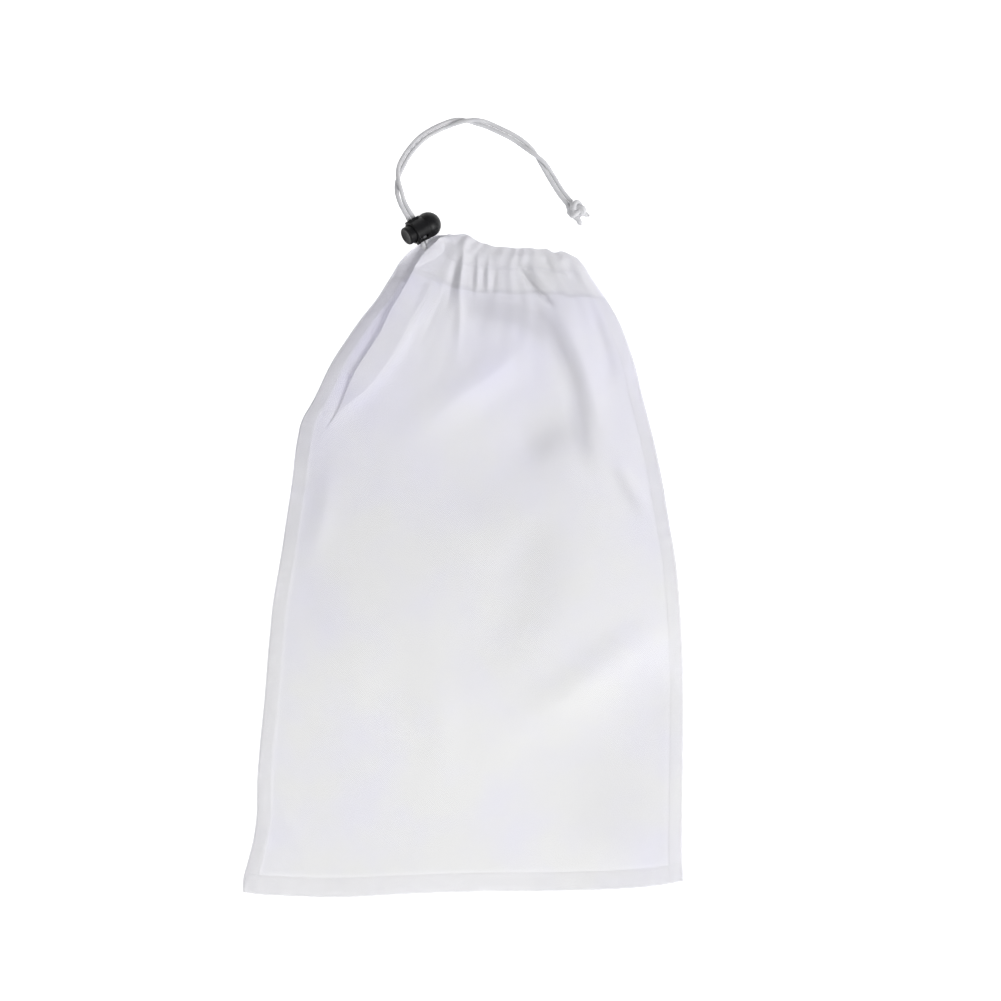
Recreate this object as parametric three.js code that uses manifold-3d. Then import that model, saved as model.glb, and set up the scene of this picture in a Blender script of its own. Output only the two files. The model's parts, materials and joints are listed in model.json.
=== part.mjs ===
// Mesh produce bag with a drawstring neck, lying flat on its back, neck drawn shut.
// Millimetres, +X across the bag, +Y from the hem to the mouth, +Z up from the table.
// Two mesh panels are sewn down both sides and along the hem. Each panel's mouth edge is folded
// over into a casing, one drawcord runs round both casings, and both its ends pass a spring
// cord lock and meet in a knot.

import * as THREE from 'three';
import { mergeVertices } from 'three/addons/utils/BufferGeometryUtils.js';
import Module from 'manifold-3d';

const wasm = await Module();
wasm.setup();

// ---- Driving dimensions ------------------------------------------------------------------
const GAP = 0.3; // between solids that touch

const HEM_LEFT = 141.5; // hem's reach to each side of the bag's centre line
const HEM_RIGHT = 148.5;
const BAG_HEIGHT = 438; // hem to drawn mouth, on the centre line of the neck
const CORNER_FLARE = 8.5; // how far the lower left corner splays out
const FLARE_HEIGHT = 45;
const SIDE_POWER = 3.4; // how late the sides run in to the neck

const PANEL_WALL = 0.8; // mesh fabric with its loft
const LOFT = 14; // height of the front panel over the back one
const EDGE_LIFT = 1.6; // underside of the front panel at its sewn edge
const SIDE_SEAM_WIDTH = 9;
const HEM_SEAM_DEPTH = 12;
const SEAM_THICKNESS = 3.2;
const SEAM_RISE = 6.4; // how much the side seams thicken into the bunched neck

const NECK_LEFT = -38; // drawn neck's outer edges, at the casing
const NECK_RIGHT = 86;
const NECK_SLOPE = -0.11; // the drawn mouth runs down to the right
const CASING_DEPTH = 28;
const CASING_START = -12; // where the casings begin, beside the cord's way out
const CASING_WALL = 0.8;
const CHANNEL_DEPTH = 21;
const CHANNEL_CLEARANCE = 0.8; // over and under the cord
const MOUTH_GAP = 7; // between the front and back casings at the middle
const MOUTH_END_GAP = 3; // the same at the neck's two ends
const CASING_FLOOR = 0.4;
const STITCH_WIDTH = 1;
const STITCH_HEIGHT = 0.5;
const STITCH_INSET = 2;
const FOLD_OVERLAP = 0.2; // of the casing's end fold with the side seam below it

const CORD_DIAMETER = 3;
const STRAND_GAP = 0.5; // between the two strands, in the lock and on the table
const CORD_SIDES = 8;
const TWIST_AT = [31, 98]; // along the tails, where one strand crosses over the other
const TWIST_LENGTH = 34;

const LOCK_TURN = THREE.MathUtils.degToRad(30); // from +X to the plunger's way in
const LOCK_TILT = THREE.MathUtils.degToRad(28); // button end up
const DOME_FLARE = 1; // the dome's radius past the barrel's
const DOME_WALL = 3.3; // past the spring
const BORE_RADIUS = 6.5;
const BARREL_WALL = 1.2;
const BARREL_END = -14.4; // along the lock's axis, from the centre of its dome
const SPRING_LEDGE = 1.8; // step in the bore that stops the plunger
const HOLE_CENTRE = -9; // where the cord crosses the lock's axis
const HOLE_CLEARANCE = 0.7; // over and under the cord
const COLLAR_WALL = 1.6; // round the cord hole
const COLLAR_REACH = 8.6;
const COLLAR_WINDOW = [-7.1, -5.6];
const PLUNGER_CLEARANCE = 0.3;
const PLUNGER_FACE = -19.4;
const PLUNGER_TRAVEL = 4.5;
const PLUNGER_END_WALL = 2.4;
const BUTTON_DISH = 0.8;
const SPRING_WIRE = 0.7;
const SPRING_TURNS = 4;
const LOCK_STANDOFF = 0.1; // dome over the table
const LOCK_FROM_CASING = [-12.4, 10.5]; // dome's centre, from the top left of the casings

const KNOT_RADII = [5.4, 6.1, 4.3];
const KNOT_END_LENGTH = 5;
const KNOT_END_TURNS = [-0.32, -1.2]; // radians from +X
const TABLE_CLEARANCE = 0.05; // under the cord

// The middle line between the two tails, from the lock's cord hole to the knot. Chosen points.
const TAIL_ROUTE = [
  [-4.45, 7.7, 0], [-7, 12.12, 0], [-10.4, 18.5, -0.1], [-12.4, 25, -1.2], [-13.5, 32, -4],
  [-12.9, 39.5, -7.4], [-10, 47.3, -10], [-5.1, 55, -11.2], [2.9, 63.4, -11.4], [13.8, 69.9, -11.4],
  [27.8, 74.5, -11.4], [42.9, 73.3, -11.4], [55.8, 68.1, -11.4], [66.6, 62.4, -11.4],
  [76.3, 54.8, -11.4], [84.5, 45.7, -11.4], [90.9, 35.5, -11.4], [96.6, 26.3, -11.2],
  [102.4, 18.9, -9.6],
];
const KNOT_CENTRE = [106.1, 13.8]; // from the same place

// ---- Sizes that follow -----------------------------------------------------------------------
const CHANNEL_HEIGHT = CORD_DIAMETER + 2 * CHANNEL_CLEARANCE;
const STRAND_SPACING = CORD_DIAMETER + STRAND_GAP;
const HOLE_HEIGHT = CORD_DIAMETER + 2 * HOLE_CLEARANCE;
const BARREL_RADIUS = BORE_RADIUS + BARREL_WALL;
const DOME_RADIUS = BARREL_RADIUS + DOME_FLARE;
const SPRING_POCKET_RADIUS = BORE_RADIUS - SPRING_LEDGE;
const SPRING_POCKET_END = DOME_RADIUS - DOME_WALL;

// ---- Materials -----------------------------------------------------------------------------
const meshCloth = new THREE.MeshStandardMaterial({ color: 0xe9e8ee, roughness: 0.85, metalness: 0 });
const seamCloth = new THREE.MeshStandardMaterial({ color: 0xf2f2f5, roughness: 0.9, metalness: 0 });
const cordWhite = new THREE.MeshStandardMaterial({ color: 0xe4e4e6, roughness: 0.8, metalness: 0 });
const threadWhite = new THREE.MeshStandardMaterial({ color: 0xf7f7f7, roughness: 0.7, metalness: 0 });
const blackPlastic = new THREE.MeshStandardMaterial({ color: 0x1d1e20, roughness: 0.45, metalness: 0 });
const springSteel = new THREE.MeshStandardMaterial({ color: 0xb8bcc0, roughness: 0.3, metalness: 1 });

// ---- Helpers ---------------------------------------------------------------------------------
const mix = THREE.MathUtils.lerp;
const smooth = THREE.MathUtils.smoothstep;

function named(name, geometry, material) {
  const mesh = new THREE.Mesh(geometry, material);
  mesh.name = name;
  return mesh;
}

function toSolid(geometry) {
  const bare = geometry.clone();
  bare.deleteAttribute('normal');
  bare.deleteAttribute('uv');
  const merged = mergeVertices(bare, 1e-4);
  return new wasm.Manifold(new wasm.Mesh({
    numProp: 3,
    vertProperties: new Float32Array(merged.attributes.position.array),
    triVerts: new Uint32Array(merged.index.array),
  }));
}

function toGeometry(solid) {
  const mesh = solid.getMesh();
  const geometry = new THREE.BufferGeometry();
  geometry.setAttribute('position', new THREE.BufferAttribute(mesh.vertProperties, 3));
  geometry.setIndex(new THREE.BufferAttribute(mesh.triVerts, 1));
  geometry.computeVertexNormals();
  return geometry;
}

// Moves every vertex of a geometry by a function of its place.
function reshape(geometry, place) {
  const position = geometry.attributes.position;
  const point = new THREE.Vector3();
  for (let i = 0; i < position.count; i++) {
    point.fromBufferAttribute(position, i);
    const [x, y, z] = place(point.x, point.y, point.z);
    position.setXYZ(i, x, y, z);
  }
  geometry.computeVertexNormals();
  return geometry;
}

// A slab over a unit square, across from -1 to 1 and up from 0 to 1, laid by a function.
function slab(acrossSteps, upSteps, place) {
  const box = new THREE.BoxGeometry(2, 1, 1, acrossSteps, upSteps, 1);
  return reshape(box, (x, y, z) => place(x, y + 0.5, z + 0.5));
}

function roundedRectangle(width, height, radius) {
  const [w, h] = [width / 2, height / 2];
  const shape = new THREE.Shape();
  shape.moveTo(w, h - radius);
  shape.absarc(w - radius, h - radius, radius, 0, Math.PI / 2, false);
  shape.absarc(-w + radius, h - radius, radius, Math.PI / 2, Math.PI, false);
  shape.absarc(-w + radius, -h + radius, radius, Math.PI, 1.5 * Math.PI, false);
  shape.absarc(w - radius, -h + radius, radius, 1.5 * Math.PI, 2 * Math.PI, false);
  return shape;
}

function tube(points, diameter, steps, sides = CORD_SIDES) {
  const section = new THREE.Shape();
  for (let i = 0; i < sides; i++) {
    const turn = (i * 2 * Math.PI) / sides;
    const at = [(Math.cos(turn) * diameter) / 2, (Math.sin(turn) * diameter) / 2];
    if (i === 0) section.moveTo(...at);
    else section.lineTo(...at);
  }
  section.closePath();
  const path = new THREE.CatmullRomCurve3(points, false, 'centripetal');
  return new THREE.ExtrudeGeometry(section, { steps, bevelEnabled: false, extrudePath: path });
}

// A round solid about +X from (place along the axis, radius) pairs.
function turned(profile, sides) {
  const points = profile.map(([along, radius]) => new THREE.Vector2(radius, along));
  return new THREE.LatheGeometry(points, sides).rotateZ(-Math.PI / 2);
}

// ---- Bag outline -----------------------------------------------------------------------------
const neckMiddle = (NECK_LEFT + NECK_RIGHT) / 2;

function leftEdge(up) {
  const flare = CORNER_FLARE * Math.max(0, 1 - (up * BAG_HEIGHT) / FLARE_HEIGHT) ** 2;
  return mix(-HEM_LEFT, NECK_LEFT, up ** SIDE_POWER) - flare;
}

function rightEdge(up) {
  return mix(HEM_RIGHT, NECK_RIGHT, up ** SIDE_POWER);
}

// The mouth edge and the line where the panels end under the casings.
function mouthEdge(x) {
  return BAG_HEIGHT + NECK_SLOPE * (x - neckMiddle);
}

function panelTop(x) {
  return mouthEdge(x) - CASING_DEPTH - GAP;
}

// A point of the bag, across from -1 to 1 and up from 0 to 1, inset from its side edges.
function onBag(across, up, inset, base) {
  const share = across * 0.5 + 0.5;
  const x = mix(leftEdge(up) + inset, rightEdge(up) - inset, share);
  return [x, mix(base, panelTop(x), up)];
}

// ---- Heights ----------------------------------------------------------------------------------
const casingThickness = CHANNEL_HEIGHT + 2 * CASING_WALL;
const backCasingTop = CASING_FLOOR + casingThickness;

// Underside of the front casing, across the neck from -1 to 1.
function frontCasingFloor(across) {
  const swell = Math.max(0, 1 - across ** 4);
  return backCasingTop + mix(MOUTH_END_GAP, MOUTH_GAP, swell);
}

function edgeHeight(up) {
  return EDGE_LIFT + SEAM_RISE * smooth(up, 0.72, 1);
}

// Underside of the front panel: low at its sewn edges, domed between, and up to the casing.
function frontFloor(across, up) {
  const dome = (1 - across ** 4) * smooth(up, -0.02, 0.16);
  const body = edgeHeight(up) + (LOFT - edgeHeight(up)) * dome;
  return mix(body, Math.max(body, frontCasingFloor(across)), smooth(up, 0.8, 1));
}

// ---- Panels and seams ------------------------------------------------------------------------
const panelInset = SIDE_SEAM_WIDTH + GAP;
const panelBase = HEM_SEAM_DEPTH + GAP;

function frontPanel() {
  return slab(24, 16, (across, up, thick) => {
    const [x, y] = onBag(across, up, panelInset, panelBase);
    return [x, y, frontFloor(across, up) + thick * PANEL_WALL];
  });
}

function backPanel() {
  return slab(6, 16, (across, up, thick) => {
    const [x, y] = onBag(across, up, panelInset, panelBase);
    return [x, y, thick * PANEL_WALL];
  });
}

// One side's sewn allowance, with both panels' edges in it. side is -1 or 1.
function sideSeam(side) {
  return slab(1, 16, (across, up, thick) => {
    const outer = side < 0 ? leftEdge(up) : rightEdge(up);
    const inward = side < 0 ? (1 + across) / 2 : (across - 1) / 2;
    const x = outer + inward * SIDE_SEAM_WIDTH;
    const height = SEAM_THICKNESS + SEAM_RISE * smooth(up, 0.72, 1);
    return [x, mix(panelBase, panelTop(x), up), thick * height];
  });
}

function hemSeam() {
  return slab(16, 1, (across, up, thick) => {
    const x = mix(leftEdge(0), rightEdge(0), across * 0.5 + 0.5);
    return [x, up * HEM_SEAM_DEPTH, thick * SEAM_THICKNESS];
  });
}

// ---- Casings -----------------------------------------------------------------------------------
const casingEnd = NECK_RIGHT - panelInset;
const channelMiddle = CASING_WALL + CHANNEL_HEIGHT / 2; // over the casing's floor

function neckAcross(x) {
  return (x - neckMiddle) / ((NECK_RIGHT - NECK_LEFT) / 2 - panelInset);
}

function frontFloorAt(x) {
  return frontCasingFloor(neckAcross(x));
}

// A strip along the neck, from a cross section of (up the bag from the casing's middle, height).
function alongNeck(section, floorAt) {
  const strip = new THREE.ExtrudeGeometry(section, { depth: 1, steps: 12, bevelEnabled: false });
  return reshape(strip, (up, height, along) => {
    const x = mix(CASING_START, casingEnd, along);
    return [x, mouthEdge(x) - CASING_DEPTH / 2 + up, floorAt(x) + height];
  });
}

function rectangle(left, low, width, height) {
  const shape = new THREE.Shape();
  shape.moveTo(left, low);
  shape.lineTo(left + width, low);
  shape.lineTo(left + width, low + height);
  shape.lineTo(left, low + height);
  shape.closePath();
  return shape;
}

function casing(floorAt) {
  const section = rectangle(-CASING_DEPTH / 2, 0, CASING_DEPTH, casingThickness);
  section.holes.push(rectangle(-CHANNEL_DEPTH / 2, CASING_WALL, CHANNEL_DEPTH, CHANNEL_HEIGHT));
  return alongNeck(section, floorAt);
}

function casingStitching(floorAt) {
  const low = -CASING_DEPTH / 2 + STITCH_INSET;
  return alongNeck(rectangle(low, casingThickness + GAP, STITCH_WIDTH, STITCH_HEIGHT), floorAt);
}

const backFloorAt = () => CASING_FLOOR;
const casingTopAtEnd = frontFloorAt(casingEnd) + casingThickness;
const wrapRadius = (casingTopAtEnd - CASING_FLOOR) / 2;
const wrapMiddle = (casingTopAtEnd + CASING_FLOOR) / 2;

// The right seam carries on as the fold of cloth that holds the cord's turn.
function rightSeamWithFold() {
  const section = new THREE.Shape();
  section.absarc(0, 0, wrapRadius, -Math.PI / 2, Math.PI / 2, false);
  section.absarc(0, 0, wrapRadius - PANEL_WALL, Math.PI / 2, -Math.PI / 2, true);
  section.closePath();
  const depth = CASING_DEPTH + GAP + FOLD_OVERLAP;
  const fold = new THREE.ExtrudeGeometry(section, { depth, bevelEnabled: false, curveSegments: 10 });
  reshape(fold, (x, height, down) => {
    const across = casingEnd + GAP + x;
    return [across, mouthEdge(across) - down, wrapMiddle + height];
  });
  return toGeometry(toSolid(sideSeam(1)).add(toSolid(fold)));
}

// ---- Cord lock -----------------------------------------------------------------------------------
// In the lock's own axes +X runs from the button to the dome and +Y along the cord, off the bag.
const strandReach = (STRAND_SPACING + CORD_DIAMETER) / 2;
const gripEdge = HOLE_CENTRE - strandReach - GAP;
const plungerHoleStart = HOLE_CENTRE - strandReach - PLUNGER_TRAVEL - GAP;
const plungerHoleEnd = HOLE_CENTRE + strandReach + GAP;
const plungerEnd = plungerHoleEnd + PLUNGER_END_WALL;
const boreEnd = plungerEnd + PLUNGER_TRAVEL + PLUNGER_CLEARANCE;
const lockHoleEnd = plungerHoleEnd + GAP;

// A rounded bar or hole across the lock, between two places on its axis.
function acrossLock(from, to, height, radius, reach) {
  const section = roundedRectangle(to - from, height, radius);
  const options = { depth: 2 * reach, bevelEnabled: false, curveSegments: 5 };
  const bar = new THREE.ExtrudeGeometry(section, options);
  return toSolid(bar.rotateX(Math.PI / 2).translate((from + to) / 2, reach, 0));
}

function lockBody() {
  const dome = [];
  const domeStart = Math.asin(BARREL_RADIUS / DOME_RADIUS);
  const steps = 9;
  for (let i = 0; i <= steps; i++) {
    const turn = mix(Math.PI - domeStart, 0, i / steps);
    dome.push([DOME_RADIUS * Math.cos(turn), i === steps ? 0 : DOME_RADIUS * Math.sin(turn)]);
  }
  const shell = toSolid(turned([
    [BARREL_END, 0], [BARREL_END, BARREL_RADIUS - 0.6], [BARREL_END + 0.6, BARREL_RADIUS], ...dome,
  ], 32));
  const bore = toSolid(turned([
    [BARREL_END - 1, 0], [BARREL_END - 1, BORE_RADIUS], [boreEnd, BORE_RADIUS],
    [boreEnd, SPRING_POCKET_RADIUS], [SPRING_POCKET_END, SPRING_POCKET_RADIUS],
    [SPRING_POCKET_END, 0],
  ], 32));
  const middle = (gripEdge + lockHoleEnd) / 2;
  const collarHeight = HOLE_HEIGHT + 2 * COLLAR_WALL;
  const collar = acrossLock(
    gripEdge - COLLAR_WALL, lockHoleEnd + COLLAR_WALL, collarHeight, collarHeight * 0.4, COLLAR_REACH);
  const cordHole = acrossLock(gripEdge, lockHoleEnd, HOLE_HEIGHT, HOLE_HEIGHT / 2 - 0.1, 20);
  const [windowFrom, windowTo] = COLLAR_WINDOW;
  const window = new THREE.BoxGeometry(lockHoleEnd - gripEdge, windowTo - windowFrom, DOME_RADIUS);
  window.translate(middle, (windowFrom + windowTo) / 2, DOME_RADIUS / 2);
  return toGeometry(shell.add(collar).subtract(bore).subtract(cordHole).subtract(toSolid(window)));
}

function lockPlunger() {
  const radius = BORE_RADIUS - PLUNGER_CLEARANCE;
  const stem = toSolid(turned([
    [PLUNGER_FACE + BUTTON_DISH, 0], [PLUNGER_FACE + BUTTON_DISH, radius * 0.4],
    [PLUNGER_FACE, radius * 0.8], [PLUNGER_FACE + 0.3, radius * 0.95], [PLUNGER_FACE + 1, radius],
    [plungerEnd, radius], [plungerEnd, 0],
  ], 32));
  const slot = acrossLock(plungerHoleStart, plungerHoleEnd, HOLE_HEIGHT, HOLE_HEIGHT / 2 - 0.1, 10);
  return toGeometry(stem.subtract(slot));
}

function lockSpring() {
  const radius = SPRING_POCKET_RADIUS - 0.4 - SPRING_WIRE / 2;
  const from = plungerEnd + GAP + SPRING_WIRE / 2;
  const to = SPRING_POCKET_END - GAP - SPRING_WIRE / 2;
  const stepsPerTurn = 12;
  const count = SPRING_TURNS * stepsPerTurn;
  const points = [];
  for (let i = 0; i <= count; i++) {
    const turn = (i * 2 * Math.PI) / stepsPerTurn;
    const along = mix(from, to, i / count);
    points.push(new THREE.Vector3(along, radius * Math.cos(turn), radius * Math.sin(turn)));
  }
  return tube(points, SPRING_WIRE, count, 6);
}

const domeCentre = new THREE.Vector3(
  CASING_START + LOCK_FROM_CASING[0],
  mouthEdge(CASING_START) + LOCK_FROM_CASING[1],
  DOME_RADIUS + LOCK_STANDOFF,
);
const lockGroup = new THREE.Group();
lockGroup.position.copy(domeCentre);
lockGroup.rotation.set(0, LOCK_TILT, LOCK_TURN, 'ZYX');
lockGroup.add(named('cord_lock_body', lockBody(), blackPlastic));
lockGroup.add(named('cord_lock_plunger', lockPlunger(), blackPlastic));
lockGroup.add(named('cord_lock_spring', lockSpring(), springSteel));

// ---- Drawcord --------------------------------------------------------------------------------------
lockGroup.updateMatrixWorld(true);
const throughLock = new THREE.Vector3(0, 1, 0).transformDirection(lockGroup.matrixWorld);
const acrossHole = new THREE.Vector3(1, 0, 0).transformDirection(lockGroup.matrixWorld);
const cordHole = new THREE.Vector3(HOLE_CENTRE, 0, 0).applyMatrix4(lockGroup.matrixWorld);

// A point of one strand in the lock. side is 1 next to the dome and -1 next to the button.
function inLock(side, along) {
  return cordHole.clone()
    .addScaledVector(acrossHole, (side * STRAND_SPACING) / 2)
    .addScaledVector(throughLock, along);
}

function inChannel(x, floorAt) {
  return new THREE.Vector3(x, mouthEdge(x) - CASING_DEPTH / 2, floorAt(x) + channelMiddle);
}

// One end of the loop, from the lock's far side to its casing.
function lead(side, floorAt) {
  const start = inLock(side, COLLAR_REACH - GAP);
  const exit = inLock(side, -COLLAR_REACH - 0.6);
  const entry = inChannel(CASING_START - 1, floorAt);
  const bend = exit.clone().addScaledVector(throughLock, -6);
  bend.add(entry.clone().add(new THREE.Vector3(-6, 0, 0))).multiplyScalar(0.5);
  return [start, inLock(side, 0), exit, bend, entry];
}

// The one cord: in past the lock, along the back casing, round, and out along the front one.
function drawcord() {
  const steps = 5;
  const back = [];
  const front = [];
  for (let i = 1; i <= steps; i++) {
    const x = mix(CASING_START, casingEnd, i / steps);
    back.push(inChannel(x, backFloorAt));
    front.unshift(inChannel(x, frontFloorAt));
  }
  const low = back.at(-1);
  const high = front[0];
  const middle = low.clone().add(high).multiplyScalar(0.5);
  const radius = (high.z - low.z) / 2;
  const turn = [];
  for (let i = 1; i < 6; i++) {
    const angle = -Math.PI / 2 + (i * Math.PI) / 6;
    turn.push(new THREE.Vector3(
      middle.x + radius * Math.cos(angle), middle.y, middle.z + radius * Math.sin(angle)));
  }
  const out = lead(-1, frontFloorAt).reverse();
  return tube([...lead(1, backFloorAt), ...back, ...turn, ...front, ...out], CORD_DIAMETER, 84);
}

// One tail: beside the middle line, with a half turn round the other strand at each twist.
function tail(side) {
  const middle = new THREE.CatmullRomCurve3(
    TAIL_ROUTE.map(([x, y, z]) => cordHole.clone().add(new THREE.Vector3(x, y, z))),
    false, 'centripetal');
  const length = middle.getLength();
  const floor = CORD_DIAMETER / 2 + TABLE_CLEARANCE;
  const count = 36;
  const points = [];
  for (let i = 0; i <= count; i++) {
    const share = i / count;
    const along = share * length;
    const point = middle.getPointAt(share);
    const tangent = middle.getTangentAt(share);
    const beside = new THREE.Vector3(tangent.y, -tangent.x, 0).normalize();
    let roll = -LOCK_TILT * (1 - smooth(along, 12, 24));
    for (const at of TWIST_AT) {
      roll += Math.PI * smooth(along, at - TWIST_LENGTH / 2, at + TWIST_LENGTH / 2);
    }
    const half = (side * STRAND_SPACING) / 2;
    const lift = (STRAND_SPACING / 2) * Math.abs(Math.sin(roll)) * smooth(along, 18, 40);
    point.addScaledVector(beside, half * Math.cos(roll));
    point.z = Math.max(floor, point.z + half * Math.sin(roll) + lift);
    points.push(point);
  }
  return tube(points, CORD_DIAMETER, 64);
}

const knotPlace = new THREE.Vector3(
  cordHole.x + KNOT_CENTRE[0], cordHole.y + KNOT_CENTRE[1], KNOT_RADII[2] + TABLE_CLEARANCE);

function knot() {
  return new THREE.SphereGeometry(1, 18, 12).rotateX(Math.PI / 2).scale(...KNOT_RADII);
}

// One cut end of the cord past the knot.
function knotEnd(turn) {
  const out = new THREE.Vector3(Math.cos(turn), Math.sin(turn), 0);
  const surface = 1 / Math.hypot(out.x / KNOT_RADII[0], out.y / KNOT_RADII[1]);
  const from = knotPlace.clone().addScaledVector(out, surface + GAP);
  const to = from.clone().addScaledVector(out, KNOT_END_LENGTH);
  from.z = CORD_DIAMETER;
  to.z = CORD_DIAMETER / 2 + TABLE_CLEARANCE;
  return tube([from, from.clone().lerp(to, 0.5), to], CORD_DIAMETER, 3);
}

// ---- Assembly --------------------------------------------------------------------------------------
const bag = new THREE.Group();
bag.add(
  named('front_panel', frontPanel(), meshCloth),
  named('back_panel', backPanel(), meshCloth),
  named('left_side_seam', sideSeam(-1), seamCloth),
  named('right_side_seam', rightSeamWithFold(), seamCloth),
  named('hem_seam', hemSeam(), seamCloth),
  named('front_casing', casing(frontFloorAt), meshCloth),
  named('back_casing', casing(backFloorAt), meshCloth),
  named('front_casing_stitching', casingStitching(frontFloorAt), threadWhite),
  named('back_casing_stitching', casingStitching(backFloorAt), threadWhite),
  named('drawcord', drawcord(), cordWhite),
  lockGroup,
);
const standing = new THREE.Box3().setFromObject(bag);

const tails = new THREE.Group();
tails.add(named('tail_strand_a', tail(1), cordWhite), named('tail_strand_b', tail(-1), cordWhite));
const knotMesh = named('tail_knot', knot(), cordWhite);
knotMesh.position.copy(knotPlace);
tails.add(knotMesh);
KNOT_END_TURNS.forEach((turn, i) => {
  tails.add(named(`knot_end_${'ab'[i]}`, knotEnd(turn), cordWhite));
});

// The origin is under the middle of the bag and its lock, without the loose tails.
const group = new THREE.Group();
group.add(bag, tails);
group.position.set(-(standing.min.x + standing.max.x) / 2, -(standing.min.y + standing.max.y) / 2, 0);

export default group;
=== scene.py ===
"""Mesh produce bag: the looks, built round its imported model.

Lengths are in metres, except in names that end in _mm and in the lists that say millimetres."""
import json
import math

import bmesh
import bpy
import numpy as np
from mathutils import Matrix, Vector


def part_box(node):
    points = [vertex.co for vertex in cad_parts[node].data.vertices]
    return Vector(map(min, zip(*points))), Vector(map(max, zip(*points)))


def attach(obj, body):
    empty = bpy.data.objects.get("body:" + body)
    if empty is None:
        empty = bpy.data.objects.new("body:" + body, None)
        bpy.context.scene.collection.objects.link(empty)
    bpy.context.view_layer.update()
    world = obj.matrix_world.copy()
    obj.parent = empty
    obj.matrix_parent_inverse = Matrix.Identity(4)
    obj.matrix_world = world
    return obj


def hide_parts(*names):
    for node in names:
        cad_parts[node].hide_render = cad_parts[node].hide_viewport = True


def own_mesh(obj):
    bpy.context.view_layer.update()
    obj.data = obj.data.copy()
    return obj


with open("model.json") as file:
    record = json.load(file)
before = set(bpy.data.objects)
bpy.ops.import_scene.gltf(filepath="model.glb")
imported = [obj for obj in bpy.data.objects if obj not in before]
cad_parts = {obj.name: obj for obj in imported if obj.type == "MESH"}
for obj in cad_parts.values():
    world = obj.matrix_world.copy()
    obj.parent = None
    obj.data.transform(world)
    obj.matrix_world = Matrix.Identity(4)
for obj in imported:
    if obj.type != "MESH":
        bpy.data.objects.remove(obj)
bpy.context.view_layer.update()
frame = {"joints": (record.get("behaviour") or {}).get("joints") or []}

bl_info = {
    "name": "Mesh produce bag",
    "version": (1, 0, 0),
    "blender": (4, 5, 0),
    "location": "3D View > Sidebar > Bag",
    "description": "Builds a drawstring bag of fine mesh with its cord, cord lock and seams",
    "category": "Object",
}

MM = 0.001
HEM_LOW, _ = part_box("hem_seam")
HEM_LEFT_MM = 150.0  # from the bag's own zero to the hem's left corner
BAG_ZERO = Vector((HEM_LOW[0] + HEM_LEFT_MM * MM, HEM_LOW[1], 0.0))
JOINT_AXIS = {joint["name"]: Vector(joint["axis"]).normalized() for joint in frame["joints"]}


# ---- Settings ---------------------------------------------------------------------------------
class BagCloth(bpy.types.PropertyGroup):
    """The mesh cloth and how it lies."""
    mesh_pitch: bpy.props.FloatProperty(
        name="Mesh pitch", description="Distance between the holes of the mesh",
        default=0.0005, min=0.0003, max=0.005, unit="LENGTH")
    hole_share: bpy.props.FloatProperty(
        name="Hole share", description="How open the mesh is, from closed to open",
        default=0.38, min=0.0, max=0.8, subtype="FACTOR")
    body_loft: bpy.props.FloatProperty(
        name="Loft", description="Height of the front panel over the back one, in the middle of the bag",
        default=0.0085, min=0.002, max=0.013, unit="LENGTH")
    cloth_colour: bpy.props.FloatVectorProperty(
        name="Cloth colour", description="Colour of the mesh cloth", subtype="COLOR",
        default=(0.80, 0.80, 0.80), min=0.0, max=1.0)
    shade_colour: bpy.props.FloatVectorProperty(
        name="Cloth tint", description="Colour that the cloth drifts to towards the neck", subtype="COLOR",
        default=(0.76, 0.75, 0.87), min=0.0, max=1.0)


class BagCord(bpy.types.PropertyGroup):
    """The drawcord and the thread."""
    cord_colour: bpy.props.FloatVectorProperty(
        name="Cord colour", description="Colour of the braided cord", subtype="COLOR",
        default=(0.70, 0.70, 0.715), min=0.0, max=1.0)
    thread_colour: bpy.props.FloatVectorProperty(
        name="Thread colour", description="Colour of the sewing thread", subtype="COLOR",
        default=(0.84, 0.84, 0.85), min=0.0, max=1.0)
    braid_relief: bpy.props.FloatProperty(
        name="Braid relief", description="Height of the braid's yarns over the cord",
        default=0.00012, min=0.0, max=0.0005, unit="LENGTH")
    stitch_pitch: bpy.props.FloatProperty(
        name="Stitch pitch", description="Length of one stitch and its gap",
        default=0.0028, min=0.001, max=0.01, unit="LENGTH")
    thread_radius: bpy.props.FloatProperty(
        name="Thread radius", description="Half the thread's thickness",
        default=0.00016, min=0.00005, max=0.001, unit="LENGTH")


class BagLock(bpy.types.PropertyGroup):
    """The cord lock."""
    plastic_colour: bpy.props.FloatVectorProperty(
        name="Plastic colour", description="Colour of the moulded lock", subtype="COLOR",
        default=(0.005, 0.005, 0.006), min=0.0, max=1.0)
    plastic_roughness: bpy.props.FloatProperty(
        name="Plastic roughness", description="Roughness of the moulded surface",
        default=0.46, min=0.0, max=1.0, subtype="FACTOR")


def cloth_settings():
    return bpy.context.scene.bag_cloth


def cord_settings():
    return bpy.context.scene.bag_cord


def lock_settings():
    return bpy.context.scene.bag_lock


# ---- Places -----------------------------------------------------------------------------------
def at(x_mm, y_mm, z_mm=0.0):
    """A place in the bag's own millimetres: right of its middle, up from the hem, over the table."""
    return BAG_ZERO + Vector((x_mm, y_mm, z_mm)) * MM


def through(knots, where):
    """A smooth curve through (place, value) pairs, read at each place."""
    knots = np.asarray(knots, float)
    place, value = knots[:, 0], knots[:, 1]
    where = np.clip(np.asarray(where, float), place[0], place[-1])
    slope = np.gradient(value, place)
    i = np.clip(np.searchsorted(place, where, side="right") - 1, 0, len(place) - 2)
    span = place[i + 1] - place[i]
    t = (where - place[i]) / span
    rise = value[i + 1] - value[i]
    a, b = slope[i] * span - rise, -slope[i + 1] * span + rise
    return (1 - t) * value[i] + t * value[i + 1] + t * (1 - t) * (a * (1 - t) + b * t)


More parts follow.
